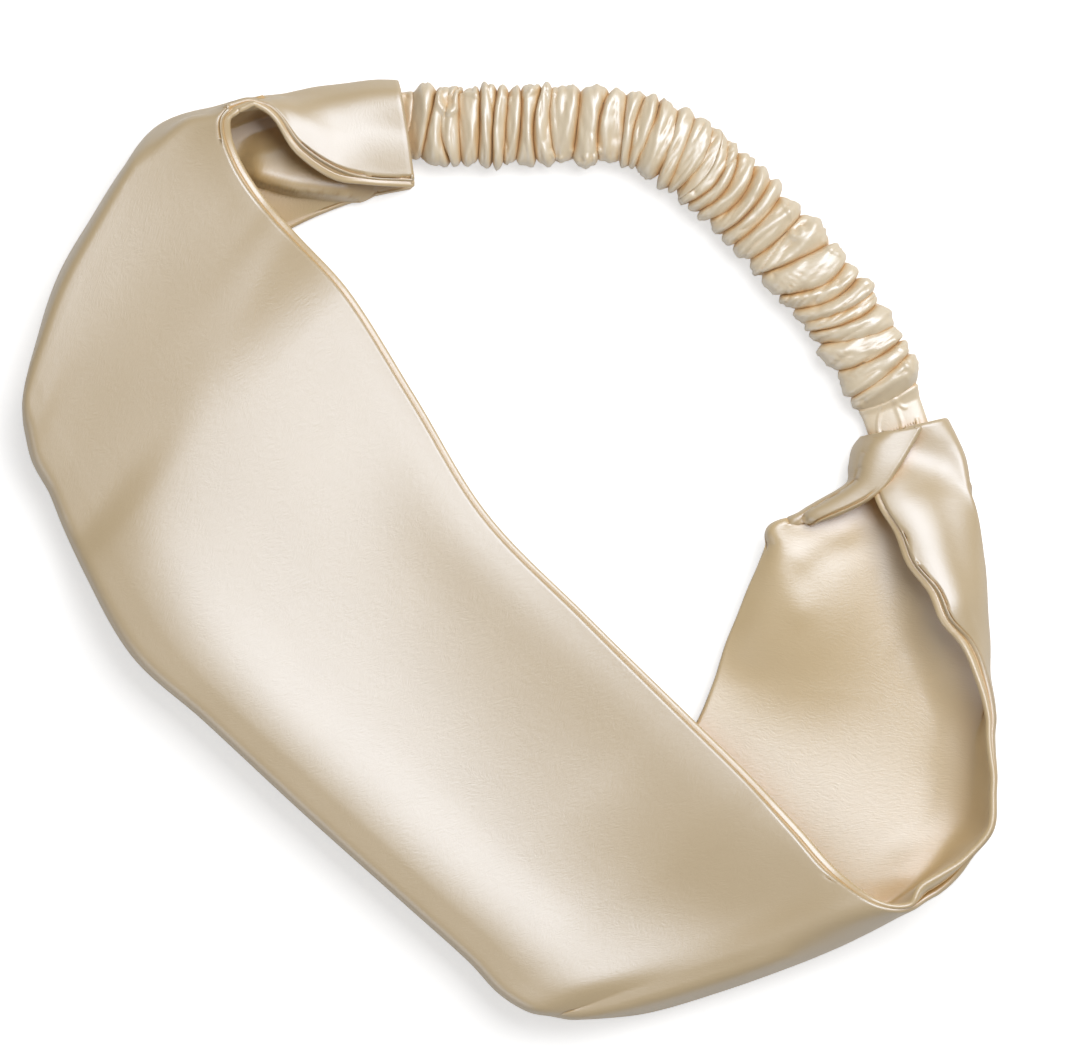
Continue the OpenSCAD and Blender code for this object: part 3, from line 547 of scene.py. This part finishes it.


# Painted shade: the allowance is set a deeper gold than the satin it's cut from, for the golden shade
# in the groove where the edge parts
allowance_satin = satin("satin seam allowance", "#dcb878", "#d2ab68", roughness=0.55)
for name, step in (("upper_edge_seam", 1), ("lower_edge_seam", -1)):
    strip = sheet_object(name + "_strip", allowance_grid(step), flip=step > 0, thick=ALLOWANCE_WALL)
    strip.data.materials.append(allowance_satin)
    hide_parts(name)
    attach(strip, "panel")

# ---------------------------------------------------------------------------
# End allowances. The raw ends of the panel, turned in against the lining in
# the two mouths that hold the casing.
# ---------------------------------------------------------------------------

UNDER = 1.1  # from the middle of the two layers down to the turned end, in mm

for name, lines, shares in (("left_end_allowance", slice(0, 9), (0.05, 0.4)),
                            ("right_end_allowance", slice(-9, None), (0.03, 0.2))):
    part = (across >= shares[0]) & (across <= shares[1])
    turned_in = middle[lines][:, part] - UNDER * middle_up[lines][:, part]
    turned_in[:, :, 2] = np.maximum(turned_in[:, :, 2], LOW)
    strip = sheet_object(name + "_strip", turned_in, flip=True)
    strip.data.materials.append(shown_satin)
    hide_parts(name)
    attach(strip, "panel")

# ---------------------------------------------------------------------------
# Gathered casing. A tube of the same satin, half as long again as the elastic
# that runs in it, so it bunches into uneven folds. It's sewn down with the
# elastic at its two ends.
# ---------------------------------------------------------------------------

# Line of the elastic from above, in mm, from the left end to the right one
ROUTE = [(-26, 88.4), (-18, 88.5), (-3, 88.2), (10, 88.4), (21, 88.1), (30, 86.2), (37, 82),
         (44.5, 75.6), (52.5, 67.8), (60.5, 59.4), (67.4, 51.2), (72.8, 43), (77.2, 35),
         (79.6, 28.8), (81.6, 22.9)]
route_places = run_of(np.array(ROUTE, float))
ROUTE_LENGTH = route_places[-1]
CASING_WIDTH = 16.8
CASING_HEIGHT = 9.0
LEFT_FLAT = 3.4   # its height where it's pressed flat into the two mouths
RIGHT_FLAT = 2.6


def route_at(run):
    """Points on the route, seen from above, at lengths run along it in mm"""
    return smooth(ROUTE, route_places, np.clip(run, 0, ROUTE_LENGTH))


def heading(run):
    """Directions of the route at lengths run along it"""
    return unit(route_at(run + 0.6) - route_at(run - 0.6))


def ease(x):
    """From 0 to 1, starting and ending gently"""
    x = np.clip(x, 0, 1)
    return x * x * (3 - 2 * x)


def on_route(x, y):
    """Place along the route, and sideways from it in half widths, of a point seen from above"""
    tries = np.linspace(0, ROUTE_LENGTH, 1500)
    away = np.array([x, y]) - route_at(tries)
    k = int(np.argmin((away ** 2).sum(axis=1)))
    d = heading(tries[k:k + 1])[0]
    return tries[k], float(away[k] @ (-d[1], d[0])) / (CASING_WIDTH / 2)


def fullness(run):
    """How far the tube has opened: 0 where it's pressed flat at its ends, 1 between them"""
    share = run / ROUTE_LENGTH
    return ease((share - 0.02) / 0.05) * ease((0.955 - share) / 0.045)


def middle_height(run):
    """Height of the middle of the tube above the table"""
    f = fullness(run)
    flat = np.where(run < ROUTE_LENGTH / 2, LEFT_FLAT, RIGHT_FLAT)
    return (1.9 + flat / 2) * (1 - f) + f * (CASING_HEIGHT / 2 + 0.2)


# The creases between the folds, in mm: where each one meets the outer edge,
# passes over the top and meets the inner edge, and how deep it goes at each
CREASES = [
    ((-20.7, 96.0), (-21.0, 90.0), (-22.4, 84.0), (1.8, 1.5, 0.6)),
    ((-15.6, 96.4), (-17.3, 88.5), (-18.7, 81.2), (2.0, 2.4, 2.2)),
    ((-13.4, 94.0), (-14.9, 87.0), (-13.2, 80.9), (0.3, 0.8, 1.9)),
    ((-11.3, 95.8), (-11.1, 88.0), (-10.7, 80.9), (2.2, 1.7, 1.8)),
    ((-6.7, 94.5), (-6.6, 88.0), (-7.1, 80.0), (1.6, 2.4, 1.9)),
    ((-3.3, 95.8), (-3.9, 88.0), (-4.2, 80.3), (1.8, 2.2, 2.0)),
    ((-0.9, 94.0), (-1.3, 87.0), (-1.8, 79.8), (2.2, 1.9, 1.6)),
    ((1.8, 95.5), (1.8, 88.0), (1.1, 81.5), (1.9, 2.3, 1.7)),
    ((5.7, 94.6), (4.5, 88.0), (4.8, 81.3), (1.6, 1.8, 1.8)),
    ((8.2, 95.2), (8.0, 88.0), (9.0, 81.2), (0.9, 1.8, 1.4)),
    ((14.2, 96.6), (13.7, 88.0), (13.0, 82.0), (2.2, 2.4, 2.0)),
    ((20.0, 95.6), (18.2, 89.0), (17.8, 83.0), (1.9, 2.0, 1.4)),
    ((24.2, 95.4), (23.4, 88.0), (22.8, 81.9), (2.0, 1.8, 1.9)),
    ((28.0, 95.0), (25.6, 88.0), (24.5, 81.5), (1.6, 2.0, 1.2)),
    ((31.2, 93.6), (29.0, 87.0), (26.6, 81.3), (2.2, 0.8, 1.6)),
    ((35.3, 92.5), (33.8, 86.0), (31.4, 79.6), (1.9, 0.5, 2.0)),
    ((38.9, 90.7), (36.4, 84.2), (33.6, 77.6), (1.5, 0.9, 1.2)),
    ((42.3, 88.2), (40.0, 81.2), (35.7, 75.7), (1.1, 0.6, 2.2)),
    ((45.6, 85.5), (43.7, 77.6), (38.2, 72.4), (0.9, 1.6, 1.4)),
    ((48.1, 84.0), (45.7, 76.4), (39.9, 70.4), (2.0, 2.2, 1.8)),
    ((51.5, 81.0), (49.2, 74.8), (42.4, 68.6), (1.8, 2.6, 2.0)),
    ((55.2, 78.6), (51.8, 72.6), (43.6, 65.4), (1.2, 2.3, 1.8)),
    ((57.4, 75.0), (52.4, 68.4), (46.0, 62.8), (2.3, 1.9, 1.6)),
    ((61.2, 70.0), (55.3, 63.9), (49.4, 59.6), (2.0, 2.4, 1.9)),
    ((67.4, 64.4), (60.0, 60.2), (53.6, 57.4), (2.4, 1.7, 2.2)),
    ((70.6, 60.2), (65.0, 54.8), (57.2, 52.5), (1.8, 1.4, 2.0)),
    ((72.8, 56.5), (66.4, 51.4), (59.9, 49.4), (2.3, 1.7, 1.9)),
    ((75.6, 53.4), (70.0, 49.6), (63.2, 47.2), (0.8, 1.2, 1.0)),
    ((77.2, 51.6), (71.2, 47.2), (64.3, 45.2), (2.1, 1.7, 2.0)),
    ((80.2, 46.4), (74.0, 44.0), (66.9, 42.4), (1.0, 0.7, 2.0)),
    ((81.2, 42.9), (75.0, 39.0), (69.0, 36.8), (1.9, 1.6, 2.2)),
    ((83.0, 40.3), (78.0, 35.6), (71.4, 31.6), (1.2, 1.2, 1.6)),
    ((85.0, 34.2), (79.5, 31.1), (73.1, 28.7), (2.0, 1.4, 1.8)),
]
# How far each fold stands out beyond the next at the outer and the inner edge, in mm
REACH = [(-0.4, -1.0), (1.2, -0.3), (-0.6, 0.4), (-0.4, 0.6), (-0.2, 0.2), (0.5, 0.5), (0.6, 0.9),
         (0.0, -0.5), (0.2, 0.4), (0.6, 0.2), (0.1, -0.6), (0.0, 0.5), (-0.2, -0.8), (-0.4, -0.2),
         (-0.2, -0.2), (-0.4, 0.9), (-0.2, 0.9), (0.0, 0.3), (-0.2, 0.6), (-0.3, 0.0), (0.1, 0.6),
         (0.5, 0.2), (0.4, 0.3), (-0.2, 0.4), (0.9, 0.5), (0.2, 0.7), (0.0, 0.4), (0.9, 0.1),
         (-0.2, -0.3), (0.7, -0.1), (0.1, 0.6), (0.4, -0.4), (0.5, 0.1), (0.0, 0.0)]
# Narrow loops and pinched folds that run across the rest, as lines seen from above, in mm:
# their points, how high they stand and how wide they are
LOOPS = [
    (((-15.5, 95.0), (-15.2, 92.6), (-14.0, 91.2), (-12.5, 91.1), (-11.5, 92.4), (-11.2, 94.8)),
     1.1, 0.55),
    (((-2.4, 96.0), (-1.6, 94.4), (-0.8, 93.1), (-0.4, 94.3)), 0.7, 0.4),
    (((2.4, 94.8), (4.4, 95.6), (5.8, 97.0)), 0.6, 0.45),
    (((3.2, 94.4), (5.4, 96.2), (8.8, 95.2)), 0.6, 0.4),
    (((-10.6, 95.4), (-8.6, 95.0), (-6.9, 94.2)), 0.6, 0.4),
    (((-6.2, 97.0), (-5.2, 96.0), (-4.0, 96.3)), 0.6, 0.4),
    (((56.9, 74.2), (57.3, 71.8), (58.3, 69.3)), 0.6, 0.4),
    (((60.6, 69.4), (59.0, 67.2), (58.7, 65.3), (60.0, 65.0), (61.0, 67.0)), 0.7, 0.45),
    (((65.7, 64.3), (66.5, 62.2), (68.4, 61.2)), 0.6, 0.4),
    (((73.2, 56.2), (74.8, 54.6), (74.2, 53.3)), 0.6, 0.4),
    (((80.2, 43.2), (81.1, 41.6), (82.8, 41.0), (81.9, 39.3), (82.8, 37.6), (84.3, 36.6), (82.8, 35.4)),
     0.5, 0.4),
    (((8.2, 82.2), (9.0, 81.0), (10.2, 81.2)), 0.7, 0.4),
    (((12.8, 82.4), (13.6, 80.8), (15.2, 80.7)), 0.9, 0.5),
    (((15.4, 81.8), (16.6, 80.9), (18.0, 82.6)), 0.7, 0.45),
    (((17.9, 83.4), (18.3, 82.2), (17.6, 81.6)), 0.5, 0.4),
    (((77.9, 30.6), (76.9, 27.2), (76.7, 24.8), (77.1, 23.4)), 0.34, 0.3),
    (((80.0, 31.0), (80.8, 28.6), (81.6, 26.4), (81.9, 24.8)), 0.34, 0.3),
    (((80.2, 31.0), (81.2, 29.8), (82.4, 29.2)), 0.3, 0.3),
    (((84.8, 26.8), (85.0, 26.0), (85.0, 25.2)), 0.3, 0.3),
]
# Hollows beside them: place, size and depth in mm
HOLLOWS = [(-13.3, 93.6, 1.3, 1.6), (-22.0, 94.4, 0.9, 1.0), (-1.4, 95.4, 0.7, 1.0),
           (61.6, 67.2, 0.8, 1.3), (59.8, 66.4, 0.5, 0.6), (67.0, 66.0, 0.7, 0.7),
           (60.6, 53.8, 1.2, 0.8), (63.4, 51.2, 0.8, 0.8), (46.4, 64.0, 0.5, 0.8),
           (38.2, 74.2, 0.7, 0.8), (72.4, 50.0, 1.4, 0.5), (73.6, 30.5, 0.5, 0.7),
           (54.6, 56.6, 0.6, 0.7), (17.0, 86.6, 0.9, 0.5), (21.6, 85.4, 1.2, 0.5),
           (9.4, 89.6, 1.2, 0.4)]

AROUND = 128
RINGS_A_FOLD = 18
RINGS_AT_END = 40  # in the last stretch, where the tube is pressed flat
HALVES_MEET = 18   # number of the fold in whose middle the two halves meet
CREASES_APART = 1.2
UNDERSIDE = -0.2   # loops and hollows aren't carried further round the tube than this
# In section the tube is a rounded box
turn = np.linspace(0, 2 * math.pi, AROUND, endpoint=False)
sideways = np.sign(np.cos(turn)) * np.abs(np.cos(turn)) ** 0.85
topward = np.sign(np.sin(turn)) * np.abs(np.sin(turn)) ** 0.66


def uneven(a, b, seed):
    """Smooth unevenness from -1 to 1"""
    return (np.sin(1.7 * a + 0.9 * b + seed) + np.sin(0.63 * a - 1.3 * b + 2.1 * seed)
            + np.sin(2.9 * a + 2.2 * b + 0.7 * seed)) / 3


crease_at, crease_depth = [np.zeros(AROUND)], [np.zeros(AROUND)]
for number, (outer_end, top, inner_end, depths) in enumerate(CREASES):
    at, over = zip(*(on_route(*p) for p in (inner_end, top, outer_end)))
    line = np.polyval(np.polyfit(over, at, 2), sideways)
    line += np.minimum(topward, 0) * math.sin(2.3 * number)
    crease_at.append(np.maximum(line, crease_at[-1] + CREASES_APART))
    deep = np.interp(sideways, (-1, 0, 1), depths[::-1])
    crease_depth.append(deep * (1.15 + 0.15 * uneven(2.3 * number, 2.6 * sideways, 2.0)))
crease_at.append(np.full(AROUND, ROUTE_LENGTH))
crease_depth.append(np.zeros(AROUND))

# Each fold rises steeply out of one crease, leans to a crest off its middle,
# and falls to the next crease. The crest wanders from one side to the other.
places, heights = [], []
for number in range(len(crease_at) - 1):
    length = crease_at[number + 1] - crease_at[number]
    stand = np.interp(sideways, (-1, 0, 1),
                      (REACH[number][1], 0.3 * math.sin(3.1 * number), REACH[number][0]))
    crest = 0.5 + 0.33 * np.sin(1.9 * number + 1.4 * sideways + 0.6 * np.sin(2.7 * number))
    sharp = 0.5 + 0.2 * math.sin(2.2 * number)
    last = number == len(crease_at) - 2
    count = RINGS_AT_END if last else RINGS_A_FOLD
    for w in np.arange(count + (1 if last else 0)) / count:
        u = 0.5 - 0.5 * math.cos(math.pi * w) if not last else w
        deep = (1 - u) * crease_depth[number] + u * crease_depth[number + 1]
        side = np.where(u < crest, u / crest, (1 - u) / (1 - crest))
        reach = np.minimum(1, np.where(u < 0.5, u, 1 - u) * length / np.minimum(1.5, 0.45 * length))
        high = (1 - sharp) * (1 - (1 - reach) ** 2) ** 0.7 + sharp * side ** 1.1
        lean = 0.2 * (1 - reach) ** 3 * np.minimum(1, deep / 1.8)
        places.append(crease_at[number] + u * length + (lean if u < 0.5 else -lean))
        heights.append(-deep * (1 - high) + stand * math.sin(math.pi * u) ** 0.8)
run = np.clip(np.array(places), 0, ROUTE_LENGTH)
out = np.array(heights)
full = fullness(run)
# Small pleats between them, sharp at the bottom, that fan out from the two edges
out += 0.2 * uneven(run * 1.3, 3 * sideways[None, :], 1.0)
for pitch, bend, size, seed in ((1.5, 2.6, 0.5, 3.0), (2.3, -2.0, 0.34, 7.0)):
    pleat = np.abs(np.sin(pitch * run + bend * uneven(0.35 * run, 1.3 * sideways, seed)))
    shown = np.clip(uneven(0.55 * run, 1.9 * sideways, seed + 1) * 1.6 + 0.35
                    + 0.3 * sideways ** 2, 0, 1)
    out -= size * shown * (1 - pleat ** 0.7)
out *= full

flat_width = 6.1 + 0.5 * (run < ROUTE_LENGTH / 2)
half_width = flat_width + (CASING_WIDTH / 2 - flat_width) * full
flat_height = np.where(run < ROUTE_LENGTH / 2, LEFT_FLAT, RIGHT_FLAT)
half_height = (flat_height + full * (CASING_HEIGHT - flat_height)) / 2
away = unit(np.stack(np.broadcast_arrays(sideways / half_width, topward / half_height), -1))
line = route_at(run.ravel()).reshape(run.shape + (2,))
ahead = heading(run.ravel()).reshape(run.shape + (2,))
beside = np.stack([-ahead[..., 1], ahead[..., 0]], -1)
flat_xy = line + beside * (half_width * sideways)[..., None]
for x, y, size, deep in HOLLOWS:
    near = ((flat_xy - (x, y)) ** 2).sum(axis=-1)
    out -= 0.55 * deep * np.exp(-near / size ** 2) * (topward > UNDERSIDE)
for points, height, width in LOOPS:
    track = smooth(points, np.linspace(0, 1, len(points)), np.linspace(0, 1, 30))
    near = np.min([((flat_xy - q) ** 2).sum(axis=-1) for q in track], axis=0)
    out += 0.75 * height * np.exp(-near / width ** 2) * (topward > UNDERSIDE)
wide = half_width * sideways + out * away[..., 0]
flat_xy = line + beside * wide[..., None]
tall = middle_height(run) + half_height * topward + out * away[..., 1]
LOWEST = 0.35
casing = np.concatenate([flat_xy, np.maximum(tall, LOWEST)[..., None]], -1)

# Painted light: the same satin as the panel, set lighter, which stands in for the brighter light that
# the gathers catch
casing_satin = satin("charmeuse satin, gathered", "#e8d8ba", "#ddc9a6", crease=2.4)
halfway = RINGS_A_FOLD * HALVES_MEET + RINGS_A_FOLD // 2
LEFT_END = tuple(casing[0].mean(axis=0) * MM)
RIGHT_END = tuple(casing[-1].mean(axis=0) * MM)
for name, rings, end in (("casing_left_half", casing[:halfway + 1], LEFT_END),
                         ("casing_right_half", casing[halfway:], RIGHT_END)):
    half = sheet_object(name, rings, flip=True, wrap=True)
    half.data.materials.append(casing_satin)
    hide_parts("elastic_casing")
    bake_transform(half)

# ---------------------------------------------------------------------------
# Casing seam. The casing's two cut edges, sewn together and pressed open
# inside it, along its underside.
# ---------------------------------------------------------------------------

SEAM_WIDTH = 4.0
SEAM_THICK = 0.4
SEAM_DROP = 0.8                # below the elastic
SEAM_FROM, SEAM_TO = 0.1, 0.86  # shares of the route


def strip_along(from_run, to_run, width, thick, drop):
    """Grid of points round a flat strip that follows the route"""
    places = np.linspace(from_run, to_run, 90)
    across_strip = np.linspace(-0.5, 0.5, 9) * width
    d = heading(places)
    beside = np.stack([-d[:, 1], d[:, 0]], -1)
    xy = route_at(places)[:, None, :] + beside[:, None, :] * across_strip[None, :, None]
    height = (middle_height(places) - drop + thick / 2)[:, None] + 0 * across_strip[None, :]
    return np.concatenate([xy, height[..., None]], -1)


def strip_halves(name, node, from_run, to_run, width, thick, drop, finish):
    """Flat strip inside the casing, in two halves that meet where the casing's own halves do"""
    half_run = float(run[halfway].mean())
    for side, start, stop, end in (("left", from_run, half_run, LEFT_END),
                                   ("right", half_run, to_run, RIGHT_END)):
        strip = sheet_object(f"{name}_{side}_half", strip_along(start, stop, width, thick, drop),
                             flip=True, thick=thick)
        strip.data.materials.append(finish)
        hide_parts(node)
        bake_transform(strip)


seam_satin = satin("satin seam allowance, crepe side", "#e2d6c0", "#d8caaf", roughness=0.6)
strip_halves("casing_seam", "casing_seam", SEAM_FROM * ROUTE_LENGTH, SEAM_TO * ROUTE_LENGTH,
             SEAM_WIDTH, SEAM_THICK, SEAM_DROP, seam_satin)

# ---------------------------------------------------------------------------
# Elastic. A flat woven band, 9 mm wide, of rubber cores between cotton and
# polyester threads. Bar tacks hold its two ends in the mouths of the panel.
# ---------------------------------------------------------------------------

ELASTIC_WIDTH = 9.0
ELASTIC_THICK = 0.8
INSET = 0.9   # its ends stop this far inside the casing's, in mm
RIB = 0.9
WEFT = 0.7
WAVE = 0.314  # a wave texture of scale 1 repeats after this length


def woven_elastic(name):
    """Ribs along the band, 0.9 mm apart, crossed by the weft every 0.7 mm; matt and white"""
    made = blank(name)
    place = add(made, "ShaderNodeTexCoord").outputs["UV"]
    ribs = add(made, "ShaderNodeTexWave", {"Scale": WAVE / (RIB * MM)},
               {"Vector": place}, wave_type="BANDS", bands_direction="Y")
    weft = add(made, "ShaderNodeTexWave", {"Scale": WAVE / (WEFT * MM)},
               {"Vector": place}, wave_type="BANDS", bands_direction="X")
    both = add(made, "ShaderNodeMath", {}, {0: ribs.outputs["Fac"], 1: weft.outputs["Fac"]},
               operation="MULTIPLY")
    relief = add(made, "ShaderNodeBump", {"Strength": 1.0, "Distance": 0.15 * MM},
                 {"Height": both.outputs["Value"]})
    tint = add(made, "ShaderNodeMix", {}, {"Factor": both.outputs["Value"]}, data_type="RGBA")
    tint.inputs[6].default_value = linear("#d8d2c6")
    tint.inputs[7].default_value = linear("#f2eee6")
    shader = add(made, "ShaderNodeBsdfPrincipled", {"Roughness": 0.75, "IOR": 1.5},
                 {"Base Color": tint.outputs[2], "Normal": relief.outputs["Normal"]})
    add(made, "ShaderNodeOutputMaterial", {}, {"Surface": shader.outputs["BSDF"]})
    return made


strip_halves("elastic_band", "elastic_band", INSET, ROUTE_LENGTH - INSET, ELASTIC_WIDTH,
             ELASTIC_THICK, 0.0, woven_elastic("woven elastic"))

# ---------------------------------------------------------------------------
# Bar tacks. A dense zigzag of thread at each end, through casing, elastic and
# panel. They're inside the two mouths, under the top layer.
# ---------------------------------------------------------------------------

TACK_LENGTH = 8.0
TACK_WIDTH = 1.6
THREAD = 0.28
STITCHES = 26
TWIST = 0.8


def sewing_thread(name):
    """Spun polyester thread of two plies, twisted every 0.8 mm, with a low sheen"""
    made = blank(name)
    place = add(made, "ShaderNodeTexCoord").outputs["Object"]
    twist = add(made, "ShaderNodeTexWave", {"Scale": WAVE / (TWIST * MM)}, {"Vector": place},
                wave_type="BANDS", bands_direction="DIAGONAL")
    relief = add(made, "ShaderNodeBump", {"Strength": 1.0, "Distance": 0.05 * MM},
                 {"Height": twist.outputs["Fac"]})
    shader = add(made, "ShaderNodeBsdfPrincipled",
                 {"Base Color": linear("#d8c39a"), "Roughness": 0.5, "Sheen Weight": 0.2},
                 {"Normal": relief.outputs["Normal"]})
    add(made, "ShaderNodeOutputMaterial", {}, {"Surface": shader.outputs["BSDF"]})
    return made


thread = sewing_thread("spun polyester thread")
for name, share, flat in (("left_elastic_tack", 0.012, LEFT_FLAT),
                          ("right_elastic_tack", 0.988, RIGHT_FLAT)):
    at = np.array([share * ROUTE_LENGTH])
    place = route_at(at)[0]
    ahead_of = heading(at)[0]
    beside_it = np.array([-ahead_of[1], ahead_of[0]])
    high = float(middle_height(at)[0]) + flat / 2 + CLOTH
    line = bpy.data.curves.new(name + "_stitches", "CURVE")
    line.dimensions = "3D"
    line.bevel_depth = THREAD / 2 * MM
    line.bevel_resolution = 2
    path = line.splines.new("POLY")
    path.points.add(STITCHES)
    for k in range(STITCHES + 1):
        xy = (place + beside_it * TACK_LENGTH * (k / STITCHES - 0.5)
              + ahead_of * (TACK_WIDTH - THREAD) * (0.5 if k % 2 else -0.5))
        path.points[k].co = (xy[0] * MM, xy[1] * MM, (high + (0.04 if k % 2 else 0)) * MM, 1)
    stitches = bpy.data.objects.new(name + "_stitches", line)
    bpy.context.collection.objects.link(stitches)
    pick(stitches)
    bpy.ops.object.convert(target="MESH")
    stitches = bpy.context.object
    stitches.data.materials.append(thread)
    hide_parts(name)
    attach(stitches, "panel")

# ---------------------------------------------------------------------------
# The shoot: white paper on a table, one large soft light high at the upper
# right, a weak one from the lower left, and the camera straight above.
# ---------------------------------------------------------------------------

bpy.ops.mesh.primitive_plane_add(size=6, location=(0, 0, 0))
paper = bpy.context.object
paper.name = "paper_sweep"
white = blank("matt white paper")
PAPER_LIFT = 0.52  # what the camera sees is lifted this much, to a clean white
seen = add(white, "ShaderNodeLightPath").outputs["Is Camera Ray"]
matt = add(white, "ShaderNodeBsdfDiffuse", {"Color": (0.78, 0.78, 0.78, 1)})
level = add(white, "ShaderNodeMath", {1: PAPER_LIFT}, {0: seen}, operation="MULTIPLY")
lift = add(white, "ShaderNodeEmission", {"Color": (1, 1, 1, 1)}, {"Strength": level.outputs["Value"]})
both = add(white, "ShaderNodeAddShader", {}, {0: matt.outputs["BSDF"], 1: lift.outputs["Emission"]})
add(white, "ShaderNodeOutputMaterial", {}, {"Surface": both.outputs["Shader"]})
paper.data.materials.append(white)

sky = bpy.data.worlds.new("studio")
bpy.context.scene.world = sky
sky.use_nodes = True
sky.node_tree.nodes.clear()
path = add(sky, "ShaderNodeLightPath")
ROOM_LIGHT = 0.20
room = add(sky, "ShaderNodeBackground", {"Color": (1, 1, 1, 1), "Strength": ROOM_LIGHT})
backdrop = add(sky, "ShaderNodeBackground", {"Color": (1, 1, 1, 1), "Strength": 1.0})
which = add(sky, "ShaderNodeMixShader", {}, {0: path.outputs["Is Camera Ray"],
            1: room.outputs["Background"], 2: backdrop.outputs["Background"]})
add(sky, "ShaderNodeOutputWorld", {}, {"Surface": which.outputs["Shader"]})


def soft_light(name, place, size, watts):
    """Square soft light of a size in metres, turned to the middle of the band"""
    light = bpy.data.lights.new(name, "AREA")
    light.shape = "SQUARE"
    light.size = size
    light.energy = watts
    lamp = bpy.data.objects.new(name, light)
    bpy.context.collection.objects.link(lamp)
    lamp.location = place
    lamp.rotation_euler = (-lamp.location).to_track_quat("-Z", "Y").to_euler()


soft_light("key_softbox", (0.42, 0.48, 1.0), 0.9, 13.8)
soft_light("fill_softbox", (-0.7, -0.8, 0.6), 0.8, 2.6)

SENSOR = 36.0             # mm, as a camera's own settings have it
HEIGHT = 2.0              # m above the table
VIEW_WIDTH = 228.06 * MM  # what the camera sees of the table
VIEW_MIDDLE = (6.5 * MM, 4.1 * MM)
camera = bpy.data.cameras.new("camera")
camera.sensor_width = SENSOR
camera.sensor_fit = "HORIZONTAL"
camera.lens = SENSOR * HEIGHT / VIEW_WIDTH
camera.clip_end = 20
camera_object = bpy.data.objects.new("camera", camera)
bpy.context.collection.objects.link(camera_object)
camera_object.location = (*VIEW_MIDDLE, HEIGHT)
bpy.context.scene.camera = camera_object
bpy.context.scene.view_settings.view_transform = "Standard"
